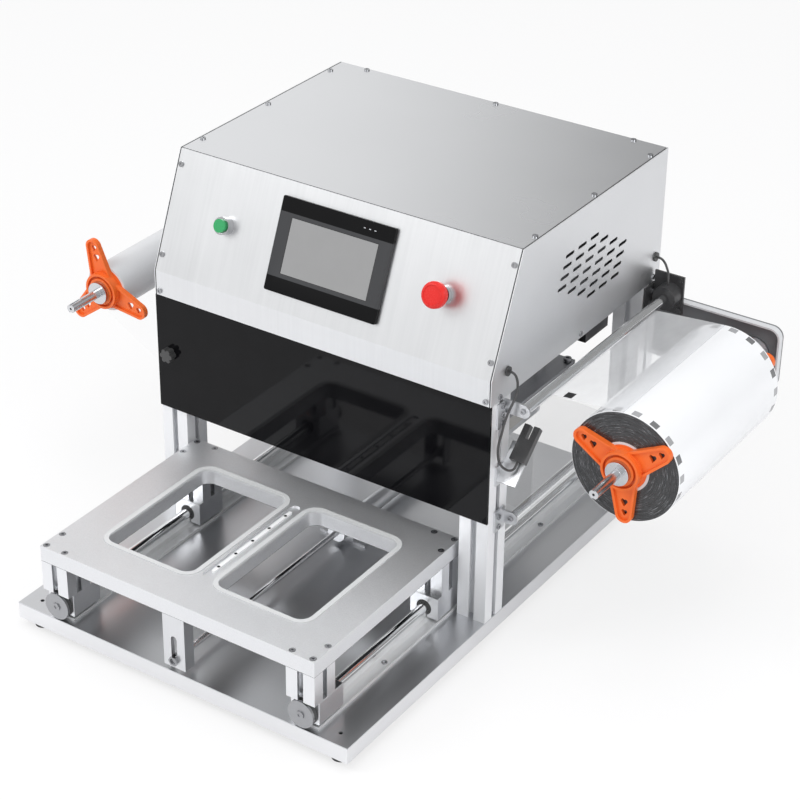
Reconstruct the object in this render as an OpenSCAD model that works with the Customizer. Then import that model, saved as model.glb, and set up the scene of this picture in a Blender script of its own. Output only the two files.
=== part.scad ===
// Tray sealer with a pneumatic drawer, a heated press head and a film unwinder and rewinder.
// Millimetres, +Z up, the origin on the floor under the centre of the base pan.
// The drawer is drawn pulled out to the front, and the press head is up.

/* [Base pan and feet] */
// Width of the base pan
base_w = 620; // [560:5:700]
// Length of the base pan from front to rear
base_l = 870; // [840:5:960]
// Height of the base pan's folded lip
base_h = 28; // [20:1:40]
// Thickness of the base sheet
base_t = 2; // [1.5:0.5:3]
// Gap under the base pan
foot_gap = 14; // [10:1:25]
// Largest radius of a rubber foot
foot_r = 18; // [14:1:22]
// Smallest radius of a rubber foot
foot_tip_r = 14; // [8:1:14]
// Radius of the hole through a foot for a bench bolt
foot_hole = 3.2; // [2:0.1:5]
// Distance of a foot's centre from the pan's side
foot_side = 28; // [24:1:60]
// Distance of a foot's centre from the pan's front and rear
foot_end = 24; // [24:1:60]

/* [Frame posts] */
// Width of the square slotted post
post_s = 50; // [40:1:60]
// Width of the post's slots
slot_w = 10; // [6:0.5:12]
// Thickness of the lips beside a slot
slot_lip = 4; // [3:0.5:6]
// Inner width of a slot
slot_in = 20; // [14:1:24]
// Depth of a slot
slot_d = 14; // [10:0.5:16]
// Radius of the post's core hole
core_r = 4; // [2:0.5:5]
// Front face of the front posts, measured forward from the top's front edge
post_front = 71.5; // [60:0.5:80]
// Rear face of the rear posts
post_rear = 428; // [400:1:440]

/* [Housing] */
// Depth of the housing's top from front edge to rear
house_d = 430; // [410:1:460]
// Height of the housing's top
house_top = 648; // [600:1:700]
// Height of the housing's lower edge
house_low = 425; // [400:1:450]
// Height at which the sloping panel meets the upright fascia
slope_low = 467.5; // [450:0.5:500]
// How far the fascia stands in front of the top's front edge
slope_run = 75.5; // [66:0.5:90]
// Thickness of the housing sheets
sheet_t = 2; // [1:0.5:3]
// Width of the seam between two sheets
seam = 1; // [0.5:0.1:2]
// Width of the inner fixing flanges
flange_w = 20; // [14:1:30]

/* [Side vents] */
// Slots in each row, from the top
vent_rows = [3, 4, 5, 6, 5, 4, 3];
// Length of a vent slot
vent_l = 25; // [15:1:30]
// Height of a vent slot
vent_h = 5.5; // [3:0.5:8]
// Distance between two slots of one row
vent_pitch = 36.5; // [30:0.5:45]
// Distance between two rows
vent_row = 16; // [10:0.5:20]
// Rearward shift from each row to the next
vent_shift = 12; // [0:0.5:18]
// Distance of the middle of the vent field behind the top's front edge
vent_y = 207; // [180:1:240]
// Height of the middle of the vent field
vent_z = 537.5; // [500:0.5:560]

/* [Operator panel] */
// Distance of the touch screen's middle right of the housing's middle
hmi_u = 1.8; // [-4:0.2:4]
// Width of the touch screen's bezel
hmi_w = 203; // [160:1:240]
// Height of the touch screen's bezel
hmi_h = 146; // [100:1:160]
// Thickness of the bezel in front of the panel
hmi_t = 7; // [4:0.5:10]
// Depth of the touch screen's case behind the panel
hmi_deep = 32; // [20:1:45]
// Corner radius of the bezel
hmi_r = 3; // [1:0.5:6]
// Width of the visible screen
screen_w = 158; // [120:1:180]
// Height of the visible screen
screen_h = 88; // [60:1:110]
// Distance of the screen's middle above the bezel's middle
screen_up = 0; // [-4:0.5:4]
// Distance of the panel's controls below the top edge, along the slope
control_v = 96; // [85:1:110]
// Distance of the start button left of the middle
start_u = 194; // [170:1:240]
// Distance of the stop button right of the middle
stop_u = 201; // [170:1:240]
// Radius of the panel hole for a button
button_r = 11; // [8:0.5:12]
// Radius of the buttons' metal rings
ring_r = 14; // [13:0.5:18]
// Height of the start button's ring
ring_h = 15; // [8:1:20]
// Height of the start button's face above the panel
cap_h = 20; // [16:1:26]
// Radius of the start button's cap
cap_r = 10.6; // [8:0.1:11]
// Travel of the start button
cap_travel = 3; // [1:0.5:4]
// Radius of the mushroom head
mush_r = 20; // [16:0.5:25]
// Height of the mushroom head's top above the panel
mush_top = 34; // [28:1:40]
// Thickness of the mushroom head
mush_t = 19; // [12:1:22]
// Travel of the stop button
stop_travel = 4; // [2:0.5:5]
// Radius of the stop button's stem
stem_r = 6; // [4:0.5:8]

/* [Front guard] */
// Thickness of the guard
guard_t = 4; // [3:0.5:6]
// Height of the guard's lower edge
guard_low = 223.8; // [200:0.2:260]
// Distance of the star knob from the guard's left edge
knob_side = 25; // [20:1:40]
// Height of the star knob's centre
knob_z = 325; // [280:1:380]
// Radius of the star knob
knob_r = 12; // [9:0.5:16]
// Thickness of the star knob
knob_t = 12; // [8:0.5:16]

/* [Drawer] */
// Width of the tray plate
plate_w = 508; // [480:1:512]
// Length of the tray plate from front to rear
plate_l = 378; // [360:1:400]
// Thickness of the tray plate
plate_t = 27; // [15:1:32]
// Height of the tray plate's top
plate_top = 168.5; // [160:0.5:190]
// Travel of the drawer
drawer_travel = 400; // [340:5:400]
// Width of a tray pocket
pocket_w = 181; // [150:1:190]
// Length of a tray pocket
pocket_l = 266; // [220:1:280]
// Corner radius of a tray pocket
pocket_r = 27; // [15:1:35]
// Width of the seat round a pocket
seat_w = 8; // [5:0.5:12]
// Depth of the seat round a pocket
seat_d = 3; // [2:0.5:6]
// Thickness of the sealing gasket
gasket_t = 4; // [3.5:0.5:8]
// Distance of a pocket's middle from the plate's middle
pocket_x = 104.5; // [95:0.5:120]
// Distance from the plate's middle to the pockets' middle, rearward
pocket_y = 4.5; // [-10:0.5:10]
// Width of the gas channel between the pockets
channel_w = 16; // [10:1:20]
// Length of the gas channel
channel_l = 232; // [180:1:250]
// Depth of the gas channel
channel_d = 3; // [2:0.5:5]
// Width of the gas strip
strip_w = 6; // [4:0.5:8]
// Length of the gas strip
strip_l = 196; // [120:1:210]
// Number of gas holes
gas_count = 5; // [3:1:7]
// Radius of a gas hole
gas_r = 1.8; // [1:0.1:2.5]
// Width of the slotted drive bracket
drive_w = 40; // [30:1:60]
// Height of the drive bracket
drive_h = 91; // [80:1:96]
// Depth of the drive bracket's side flanges
drive_d = 18; // [12:1:30]
// Thickness of the bracket sheet
drive_t = 3; // [2:0.5:5]

/* [Linear rails] */
// Distance of a rail from the middle
rail_x = 229; // [215:1:235]
// Length of a rail
rail_l = 850; // [820:5:870]
// Radius of the rail rod
rod_r = 8; // [6:0.5:10]
// Height of the rod's axis above the base
rod_up = 25; // [23:0.5:30]
// Width of the rail support's flange
rail_w = 48; // [40:1:56]
// Thickness of the rail support's flange
rail_t = 5; // [3:0.5:6]
// Width of a bearing block
block_w = 50; // [45:1:50]
// Length of a bearing block
block_l = 60; // [45:1:70]
// Height of a bearing block
block_h = 39; // [36:1:44]
// Radius of an end stop disc
stop_r = 22.5; // [16:0.5:24]
// Thickness of an end stop disc
stop_t = 4; // [3:0.5:8]
// Thickness of the rubber bumper behind it
bump_t = 7; // [4:0.5:10]

/* [Drawer cylinder] */
// Outer radius of the drawer cylinder's tube
dcyl_r = 14; // [12:0.5:16]
// Bore radius of the drawer cylinder
dcyl_bore = 12.5; // [10:0.5:13]
// Radius of the drawer cylinder's rod
drod_r = 5; // [4:0.5:6]
// Height of the drawer cylinder's axis above the base
dcyl_up = 22; // [20:0.5:26]
// Thickness of the front cap
dcap_front = 16; // [12:1:24]
// Thickness of the rear cap
dcap_rear = 10; // [8:1:16]
// Thickness of the piston
dpiston_t = 12; // [8:1:16]

/* [Press head] */
// Thickness of the frame plate that carries the press
beam_t = 16; // [12:1:24]
// Width of the head plate
head_w = 470; // [440:1:500]
// Length of the head plate
head_l = 297; // [285:1:310]
// Height of the head plate's top with the head up
head_top = 305; // [295:1:320]
// Thickness of the head plate
head_t = 12; // [8:1:20]
// Thickness of the insulating board
insul_t = 8; // [5:1:12]
// Thickness of the heater block
heater_t = 25; // [18:1:30]
// Travel of the press head
head_travel = 45; // [30:0.5:45]
// Radius of the press rod
prod_r = 12.5; // [10:0.5:16]
// Width of the press cylinder's body
pcyl_w = 90; // [80:1:110]
// Height of the press cylinder's body
pcyl_h = 120; // [110:1:140]
// Bore radius of the press cylinder
pcyl_bore = 38; // [30:1:39]
// Thickness of the press cylinder's caps
pcap_t = 18; // [12:1:24]
// Thickness of the press piston
ppiston_t = 18; // [12:1:24]
// Radius of a guide rod
guide_r = 10; // [8:0.5:12]
// Distance of the guide rods from the middle, sideways
guide_x = 190; // [150:1:200]
// Distance of the guide rods from the middle, lengthways
guide_y = 110; // [90:1:120]
// Outer radius of a guide bush
bush_r = 16; // [14:0.5:20]
// Height of a guide bush below its flange
bush_h = 22; // [20:1:40]
// Thickness of a guide bush's flange
bush_t = 5; // [3:0.5:8]

/* [Film and rollers] */
// Distance of the unwind and rewind shafts from the middle
roll_x = 487; // [460:1:510]
// Height of the unwind and rewind shafts
roll_z = 346; // [330:1:360]
// Outer radius of the film roll
roll_r = 88; // [60:1:95]
// Radius of the cores' outside
tube_r = 40; // [38:0.5:45]
// Wall of the cores
tube_t = 4; // [3:0.5:6]
// Width of the film
film_w = 320; // [300:1:330]
// Front edge of the film, behind the top's front edge
film_y = 9; // [6:1:16]
// Thickness that the film is drawn with
film_t = 0.4; // [0.3:0.1:1]
// Gap between the film and what it runs round
film_gap = 0.3; // [0.2:0.1:1]
// Radius of the guide rollers
roller_r = 8; // [6:0.5:10]
// Distance of the upper guide roller from the middle
upper_x = 343; // [338:1:350]
// Height of the upper guide roller
upper_z = 413; // [395:1:420]
// Height of the lower guide rollers
lower_z = 218.5; // [215:0.5:230]
// Radius of the shafts
shaft_r = 7.5; // [6:0.5:9]
// Length of shaft in front of the film's front edge
shaft_front = 91; // [60:1:110]
// Reach of a chuck's arm
arm_reach = 89; // [70:1:95]
// Radius of a chuck arm's tip
arm_tip = 13.5; // [10:0.5:16]
// Half width of a chuck arm at the hub
arm_root = 25; // [18:0.5:28]
// Thickness of a chuck's arms
arm_t = 9; // [6:0.5:12]
// Height of the rim round an arm
arm_rim = 4; // [2:0.5:6]
// Width of the rim round an arm
arm_edge = 4; // [2.5:0.5:6]
// Radius of a chuck's hub
hub_r = 31; // [26:0.5:34]
// Height of the hub in front of the arms
hub_h = 8; // [4:0.5:12]
// Radius of the collar that clamps a chuck
collar_r = 21; // [16:0.5:24]
// Thickness of the collar
collar_t = 12; // [8:0.5:16]
// Turn of the unwind chuck's first arm
unwind_turn = 35.5; // [0:0.5:120]
// Turn of the rewind chuck's first arm
rewind_turn = 105; // [0:0.5:120]

/* [Roll carriers] */
// Distance of the carrier's outer edge from the middle
wing_x = 532; // [510:1:560]
// Height of the carrier's upper edge
wing_top = 400; // [385:1:410]
// Height of the carrier's lower edge
wing_low = 292; // [280:1:310]
// Corner radius of the carrier
wing_r = 18; // [10:1:30]
// Thickness of the carrier sheet
wing_t = 3; // [2:0.5:5]
// Depth of the carrier's rim
wing_rim = 12; // [8:1:20]
// Radius of a shaft bearing's barrel
hous_r = 20; // [16:0.5:24]
// Length of a shaft bearing's barrel
hous_l = 40; // [30:1:50]

/* [Fasteners] */
// Radius of a panel screw's head
screw_head = 4.5; // [3:0.5:6]
// Height of a panel screw's head
screw_t = 2; // [1:0.5:4]
// Radius of a screw's shank
screw_r = 2; // [1.5:0.5:3]
// Radius of a frame bolt's head
bolt_head = 6.5; // [5:0.5:8]
// Height of a frame bolt's head
bolt_t = 5; // [3:0.5:8]
// Radius of a frame bolt's shank
bolt_r = 4; // [3:0.5:4.5]

/* [Hidden] */

// Overrun of a cut past the face that it opens
cut = 1;
// Radial clearance of a running fit
fit = 0.05;
// Gap between moving pieces that only pass each other
pass = 0.3;
// Clearance of a piece set in a pocket
set_gap = 0.2;
$fn = 48;

// Heights of the base
pan_z = foot_gap + base_h;
pan_under = pan_z - base_t;
front_y = -base_l / 2;
rear_y = base_l / 2;

// Housing outline
lean = atan(slope_run / (house_top - slope_low));
slope_len = slope_run / sin(lean);
half_w = base_w / 2;
panel_half = half_w - sheet_t - seam;
beam_top = house_low + beam_t;
screw_in = 9;
screw_v_share = [0.128, 0.864];
screw_v = screw_v_share * slope_len;
screw_front = 23.5;
screw_rear = 19;
screw_mid_share = 0.42;
side_screw_y = [screw_front - slope_run, house_d * screw_mid_share, house_d - screw_rear];
screw_up = 7.5;
side_screw_z = house_low + screw_up;
top_screw_share = [0.105, 0.5, 0.902];
top_screw_y = top_screw_share * house_d;
screw_corner = 58;
top_screw_x = [for (i = [-1:1]) i * (half_w - screw_corner)];
rear_in = 6;
hole_front = 42.5;
hole_rear = 17;
hole_up = 42;
side_hole_y = [hole_front - slope_run, house_d - hole_rear];
side_hole_z = house_low + hole_up;
grommet_r = 6;
grommet_t = 3;
grommet_head = 7.5;

// The press and the drawer share one middle when the drawer is in
plate_front = front_y;
plate_mid = plate_front + plate_l / 2;
pocket_mid = plate_mid + pocket_y;
press_y = pocket_mid + drawer_travel;
plate_low = plate_top - plate_t;
rod_z = pan_z + rod_up;
block_under = 16;
block_low = rod_z - block_under;
block_top = block_low + block_h;
post_c = plate_w / 2 - post_s / 2;
stop_face = rail_l / 2 + bump_t;
block_front = rail_l / 2 - pass;
plate_rear = plate_front + plate_l;
block_mid = [-block_front + block_l / 2, plate_rear - block_l / 2];
neck_w = 8;
neck_foot = 20;
neck_rise = 3;
slot_gap = 12;
seal_t = 2;
seal_r = 13;
rail_bolt_x = 15;
rail_bolt_pitch = 150;
rail_bolt_end = 30;
rail_bolt_y = [for (y = [rail_bolt_end:rail_bolt_pitch:rail_l - rail_bolt_end]) y - rail_l / 2];

// Gas holes
gas_end_share = 0.3;

// Plate fasteners stand over the carriage posts' corner holes
plate_bolt = 18;
plate_bolt_r = 5;
plate_bolt_t = 5;
plate_bore_r = 5.4;

// Drawer cylinder
dcyl_z = pan_z + dcyl_up;
web_back = plate_front + drive_t;
nut_t = 6;
nut_r = 8.5;
rod_gap = 2;
dcyl_front = web_back + nut_t + drawer_travel + rod_gap;
dcap_over = 2;
dcyl_len = dcap_front + dpiston_t + drawer_travel + dcap_rear + 2 * cut;
dcyl_rear = dcyl_front + dcyl_len;
drive_slot_w = 11;
drive_slot_h = 48;
drive_low = plate_low - drive_h;
mount_t = 5;
mount_w = 44;
mount_foot = 22;

// Press
head_under = head_top - head_t;
heater_top = head_under - insul_t;
heater_low = heater_top - heater_t;
mould_low = plate_top + gasket_t - seat_d + head_travel + cut / 2;
mould_wall = 10;
mould_flange = 6;
mould_in = 24;
pcyl_top = beam_top + pcyl_h;
piston_up = pcyl_top - pcap_t - cut;
guide_over = 14;
guide_end = beam_top + bush_t + head_travel + guide_over;
tie_x = 36;
tie_r = 5;
heater_bore = 8;
heater_rows = 4;
heater_pitch = 110;

// Film path: circles are [x, z, radius of the film's middle]
turn_r = roller_r + film_gap + film_t / 2;
film_x = upper_x - turn_r;
lower_x = film_x - turn_r;
film_back = film_y + film_w;
wrap = film_gap + film_t / 2;
web_in = 1;
c_roll = [roll_x, roll_z, roll_r + wrap];
c_up = [upper_x, upper_z, turn_r];
c_right = [lower_x, lower_z, turn_r];
c_left = [-lower_x, lower_z, turn_r];
c_core = [-roll_x, roll_z, tube_r + wrap];
// Angle of the normal of the outer tangent of two circles, on the side given by s
function outer(a, b, s) =
  atan2(b[1] - a[1], b[0] - a[0])
  + s * acos((a[2] - b[2]) / norm([b[0] - a[0], b[1] - a[1]]));
function ring_pt(c, a, d) = [c[0] + (c[2] + d) * cos(a), c[1] + (c[2] + d) * sin(a)];
function sweep(c, a, b, n, d) = [for (i = [0:n]) ring_pt(c, a + (b - a) * i / n, d)];
top_a = outer(c_up, c_roll, 1);
end_a = outer(c_left, c_core, 1);
// One side of the film, from the roll to the rewind core; d is the offset, with the turning
function film_side(d) = concat(
  [ring_pt(c_roll, top_a, d)],
  sweep(c_up, top_a, 180, 9, d),
  sweep(c_right, 0, -90, 8, -d),
  sweep(c_left, 270, end_a, 4, -d),
  [ring_pt(c_core, end_a, -d)]);
function flip(v) = [for (i = [len(v) - 1:-1:0]) v[i]];

// Roller brackets on the posts' sides
arm_plate = 3;
bracket_w = 22;
post_mid_f = -post_front + post_s / 2;
post_mid_r = post_rear - post_s / 2;
post_near = post_rear - post_s;
up_fore = 12.5;
up_aft = 9.5;
up_y = [post_mid_f - up_fore, post_mid_f + up_aft];
low_fore = 10.5;
low_aft = 16.5;
low_y = [post_mid_f - low_fore, post_mid_f + low_aft];
up_foot = 11.5;
up_foot_z = upper_z - up_foot;
roller_gap = 1;
axle_deep = 12;
roller_over = 6;
roller_back = post_near + roller_over;
roller_short = 4;
low_back = post_near - roller_short;
side_bolt = 11;

// Film sensor, in a frame tilted with its bracket
sense_tilt = 42;
sense_fore = 11.5;
sense_up = 75.5;
sense_y = post_mid_f - sense_fore;
sense_z = lower_z + sense_up;
sense_w = 26;
sense_from = 36;
sense_len = 58;
sense_t = 11;
sense_gap = 6;
sense_fork = 22;
sense_plate = 66;
sense_back = 3;

// Encoder
enc_r = 20;
enc_l = 24;
enc_w = 44;
enc_h = 66;
enc_gap = 2;
enc_y = roller_back + enc_gap;
enc_plate_y = enc_y + enc_l;
enc_plate_t = 4;
enc_screw_z = [upper_z - 2 * side_bolt, upper_z];

// Shafts
shaft_tip = film_y - shaft_front;
shaft_over = 8;
shaft_end = post_rear + wing_t + shaft_over;
chuck_y = film_y - arm_t;
hub_y = chuck_y - hub_h;
chuck_back = film_back + arm_t;
plug_r = tube_r - tube_t - set_gap;
plug_l = 20;
motor_w = 50;
gear_l = 30;
motor_r = 21;
motor_l = 55;

// Cables: the points lie along the routes that they take in the photograph
cable_r = 1.9;
cable_side_share = [0.2, 1, 0.1];
sensor_route = [[313, -33, 467], [318, -33, 467], [322, -31, 463], [324, -29, 456],
  [325, -28, 448], [326, -30, 439], [327, -35, 431], [328, -42, 427], [328, -49, 421],
  [326, -54, 411], [323, -57, 397], [321, -61, 379], [319, -65, 361], [319, -66, 344],
  [321, -63, 329], [325, -56, 318], [330, -49, 313], [334, -44, 314.5],
  [334.5, -40, 317.5], [334.5, -35, 322]];
encoder_route = [[313, 413, 467], [319, 413, 467], [327, 411, 464], [335, 407, 456],
  [341, 402, 448], [343, 398, 440], [343, 398, 433]];

module box(a, b) {
  translate([min(a[0], b[0]), min(a[1], b[1]), min(a[2], b[2])])
    cube([abs(b[0] - a[0]), abs(b[1] - a[1]), abs(b[2] - a[2])]);
}

// A cylinder along +Y from y = a to y = b
module along_y(x, z, r, a, b) {
  translate([x, b, z]) rotate([90, 0, 0]) cylinder(r = r, h = b - a);
}

// A cylinder along +X from x = a to x = b
module along_x(y, z, r, a, b) {
  translate([a, y, z]) rotate([0, 90, 0]) cylinder(r = r, h = b - a);
}

// A flat outline in y and z, given a thickness along x
module yz(x, t) { translate([x, 0, 0]) rotate([90, 0, 90]) linear_extrude(t) children(); }

// A flat outline in x and z, given a thickness along y, ending at y
module xz(y, t) { translate([0, y, 0]) rotate([90, 0, 0]) linear_extrude(t) children(); }

// A rectangle with round corners, centred
module round_rect(w, h, r) {
  square([w - 2 * r, h], center = true);
  square([w, h - 2 * r], center = true);
  for (i = [-1, 1], j = [-1, 1]) translate([i * (w / 2 - r), j * (h / 2 - r)]) circle(r);
}

// A slot with round ends, centred, its length along x
module slot2d(l, w) {
  square([l - w, w], center = true);
  for (i = [-1, 1]) translate([i * (l - w) / 2, 0]) circle(w / 2);
}

// The sloping panel's frame: u to the right, v down the slope, +Z out of the panel
module on_slope(u, v, h = 0) {
  translate([u, -v * sin(lean), house_top - v * cos(lean)]) rotate([90 - lean, 0, 0])
    translate([0, 0, h]) children();
}

module profile_cut(h) {
  for (a = [0:90:270]) rotate(a) {
    translate([post_s / 2 - slot_lip - cut, -slot_w / 2, -cut])
      cube([slot_lip + 2 * cut, slot_w, h + 2 * cut]);
    translate([post_s / 2 - slot_d, -slot_in / 2, -cut])
      cube([slot_d - slot_lip, slot_in, h + 2 * cut]);
  }
  translate([0, 0, -cut]) cylinder(r = core_r, h = h + 2 * cut);
}

module post(h) {
  difference() {
    translate([-post_s / 2, -post_s / 2, 0]) cube([post_s, post_s, h]);
    profile_cut(h);
  }
}

module base_pan() {
  color("lightgray") difference() {
    box([-half_w, front_y, foot_gap], [half_w, rear_y, pan_z]);
    box([-half_w + base_t, front_y + base_t, foot_gap - cut],
        [half_w - base_t, rear_y - base_t, pan_under]);
    feet() translate([0, 0, pan_under - cut]) cylinder(r = foot_hole, h = base_t + 2 * cut);
  }
}

module feet() {
  for (i = [-1, 1], j = [-1, 1])
    translate([i * (half_w - foot_side), j * (rear_y - foot_end), 0]) children();
}

module base_feet() {
  color("black") feet() difference() {
    cylinder(r1 = foot_tip_r, r2 = foot_r, h = pan_under);
    translate([0, 0, -cut]) cylinder(r = foot_hole, h = pan_under + 2 * cut);
  }
}

function neck(s) = [[-s * neck_foot / 2, rail_t], [-s * neck_w / 2, rail_t + neck_rise],
  [-s * neck_w / 2, rod_up], [s * neck_w / 2, rod_up],
  [s * neck_w / 2, rail_t + neck_rise], [s * neck_foot / 2, rail_t]];

module rail_supports() {
  color("silver") for (i = [-1, 1]) difference() {
    union() {
      box([i * rail_x - rail_w / 2, -rail_l / 2, pan_z],
          [i * rail_x + rail_w / 2, rail_l / 2, pan_z + rail_t]);
      translate([i * rail_x, 0, pan_z]) xz(rail_l / 2, rail_l) polygon(neck(1));
    }
    along_y(i * rail_x, rod_z, rod_r, -rail_l / 2 - cut, rail_l / 2 + cut);
    for (y = rail_bolt_y, j = [-1, 1]) translate([i * rail_x + j * rail_bolt_x, y, pan_z - cut])
      cylinder(r = screw_r + fit, h = rail_t + 2 * cut);
  }
}

module rail_rods() {
  color("silver") for (i = [-1, 1])
    along_y(i * rail_x, rod_z, rod_r, -rail_l / 2, rail_l / 2);
}

module rail_stops() {
  color("gray") for (i = [-1, 1], j = [-1, 1]) translate([i * rail_x, j * stop_face, rod_z])
    rotate([-j * 90, 0, 0]) {
      cylinder(r = stop_r, h = stop_t);
      translate([0, 0, stop_t]) difference() {
        cylinder(r = bolt_head, h = screw_t);
        translate([0, 0, screw_t / 2]) cylinder(r = bolt_head / 2, h = screw_t, $fn = 6);
      }
    }
}

module rail_bumpers() {
  color("black") for (i = [-1, 1], j = [-1, 1]) translate([i * rail_x, j * rail_l / 2, rod_z])
    rotate([-j * 90, 0, 0]) cylinder(r = stop_r, h = bump_t);
}

module main_posts() {
  color("silver") for (i = [-1, 1], y = [post_mid_f, post_mid_r])
    translate([i * (half_w - post_s / 2), y, pan_z]) post(house_low - pan_z);
}

module head_beam() {
  color("silver") difference() {
    box([-half_w + sheet_t, -slope_run + sheet_t, house_low],
        [half_w - sheet_t, post_rear, beam_top]);
    translate([0, press_y, house_low - cut]) cylinder(r = prod_r + cut, h = beam_t + 2 * cut);
    for (i = [-1, 1], j = [-1, 1])
      translate([i * guide_x, press_y + j * guide_y, house_low - cut])
        cylinder(r = bush_r, h = beam_t + 2 * cut);
  }
}

module guide_bushes() {
  color("goldenrod") for (i = [-1, 1], j = [-1, 1])
    translate([i * guide_x, press_y + j * guide_y, beam_top]) difference() {
      union() {
        translate([0, 0, -bush_h]) cylinder(r = bush_r, h = bush_h);
        cylinder(r = bush_r + bush_t, h = bush_t);
      }
      translate([0, 0, -bush_h - cut])
        cylinder(r = guide_r + fit, h = bush_h + bush_t + 2 * cut);
    }
}

module press_cylinder() {
  color("silver") translate([0, press_y, beam_top]) {
    difference() {
      translate([-pcyl_w / 2, -pcyl_w / 2, 0]) cube([pcyl_w, pcyl_w, pcyl_h]);
      translate([0, 0, pcap_t]) cylinder(r = pcyl_bore, h = pcyl_h - 2 * pcap_t);
      translate([0, 0, -cut]) cylinder(r = prod_r + fit, h = pcap_t + 2 * cut);
      for (a = [0:90:270]) rotate(a) translate([pcyl_w / 2 - slot_lip, 0, pcyl_h / 2])
        cube([2 * slot_lip, slot_w, pcyl_h - 2 * pcap_t], center = true);
      for (z = [pcap_t / 2, pcyl_h - pcap_t / 2]) translate([tie_x, -pcyl_w / 2 - cut, z])
        rotate([-90, 0, 0]) cylinder(r = tie_r, h = pcap_t);
    }
    for (i = [-1, 1], j = [-1, 1]) translate([i * tie_x, j * tie_x, pcyl_h])
      cylinder(r = tie_r, h = bolt_t);
  }
}

module drawer_cylinder() {
  color("silver") {
    difference() {
      union() {
        along_y(0, dcyl_z, dcyl_r, dcyl_front, dcyl_rear);
        along_y(0, dcyl_z, dcyl_r + dcap_over, dcyl_front, dcyl_front + dcap_front);
        along_y(0, dcyl_z, dcyl_r + dcap_over, dcyl_rear - dcap_rear, dcyl_rear);
      }
      along_y(0, dcyl_z, dcyl_bore, dcyl_front + dcap_front, dcyl_rear - dcap_rear);
      along_y(0, dcyl_z, drod_r + fit, dcyl_front - cut, dcyl_front + dcap_front + cut);
    }
    for (y = [dcyl_front + dcap_front, dcyl_rear - dcap_rear - mount_t]) {
      difference() {
        box([-mount_w / 2, y, pan_z], [mount_w / 2, y + mount_t, dcyl_z + dcyl_r + mount_t]);
        along_y(0, dcyl_z, dcyl_r, y - cut, y + mount_t + cut);
      }
      box([mount_w / 2, y, pan_z], [mount_w / 2 + mount_foot, y + mount_foot, pan_z + mount_t]);
      box([-mount_w / 2, y, pan_z], [-mount_w / 2 - mount_foot, y + mount_foot, pan_z + mount_t]);
    }
    for (y = [dcyl_front + dcap_front / 2, dcyl_rear - dcap_rear / 2])
      translate([0, y, dcyl_z + dcyl_r]) cylinder(r = tie_r, h = 2 * bolt_t);
  }
}

// The side panel's outline with its front, slope and top edges moved in by d
function edge(d) = [[-slope_run + d, house_low], [-slope_run + d, slope_low - d * tan(lean / 2)],
  [d * tan((90 - lean) / 2), house_top - d], [house_d, house_top - d]];
function band(a, b, from, to) =
  concat([for (i = [from:to]) edge(a)[i]], [for (i = [to:-1:from]) edge(b)[i]]);

module vents2d() {
  n = len(vent_rows);
  for (k = [0:n - 1]) let (m = vent_rows[k]) for (i = [0:m - 1])
    translate([vent_y + (k - (n - 1) / 2) * vent_shift + (i - (m - 1) / 2) * vent_pitch,
      vent_z - (k - (n - 1) / 2) * vent_row]) slot2d(vent_l, vent_h);
}

module side_panels() {
  color("lightgray") for (i = [-1, 1]) {
    yz(i > 0 ? half_w - sheet_t : -half_w, sheet_t) difference() {
      polygon(concat(edge(0), [[house_d, house_low]]));
      vents2d();
      if (i > 0) for (y = side_hole_y) translate([y, side_hole_z]) circle(grommet_r);
      for (y = side_screw_y) translate([y, side_screw_z]) circle(screw_r + fit);
    }
    difference() {
      yz(i > 0 ? half_w - sheet_t - flange_w : -half_w + sheet_t, flange_w)
        polygon(concat([for (k = [1:3]) edge(sheet_t)[k]], [for (k = [3:-1:1]) edge(2 * sheet_t)[k]]));
      for (v = screw_v) on_slope(i * (half_w - screw_in), v, -2 * sheet_t - cut)
        cylinder(r = screw_r + fit, h = 2 * sheet_t + 2 * cut);
      for (y = top_screw_y) translate([i * (half_w - screw_in), y, house_top - 2 * sheet_t - cut])
        cylinder(r = screw_r + fit, h = 2 * sheet_t + 2 * cut);
      box([i * (half_w - sheet_t), house_d - sheet_t, house_low],
          [i * (half_w - sheet_t - flange_w - cut), house_d + cut, house_top]);
    }
  }
}

module front_panel() {
  color("lightgray") difference() {
    yz(-panel_half, 2 * panel_half) polygon(band(0, sheet_t, 0, 2));
    on_slope(hmi_u, control_v, -sheet_t - cut)
      translate([-hmi_w / 2 + hmi_t, -hmi_h / 2 + hmi_t, 0])
        cube([hmi_w - 2 * hmi_t, hmi_h - 2 * hmi_t, sheet_t + 2 * cut]);
    for (u = [-start_u, stop_u]) on_slope(u, control_v, -sheet_t - cut)
      cylinder(r = button_r, h = sheet_t + 2 * cut);
    for (i = [-1, 1], v = screw_v) on_slope(i * (half_w - screw_in), v, -sheet_t - cut)
      cylinder(r = screw_r + fit, h = sheet_t + 2 * cut);
    for (i = [-1, 1]) along_y(i * (half_w - screw_in), side_screw_z, screw_r + fit,
      -slope_run - cut, -slope_run + sheet_t + cut);
  }
}

module top_panel() {
  color("lightgray") difference() {
    box([-panel_half, sheet_t, house_top - sheet_t], [panel_half, house_d, house_top]);
    for (i = [-1, 1], y = top_screw_y) translate([i * (half_w - screw_in), y, house_top - sheet_t - cut])
      cylinder(r = screw_r + fit, h = sheet_t + 2 * cut);
    for (x = top_screw_x) translate([x, house_d - rear_in, house_top - sheet_t - cut])
      cylinder(r = screw_r + fit, h = sheet_t + 2 * cut);
  }
}

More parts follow.
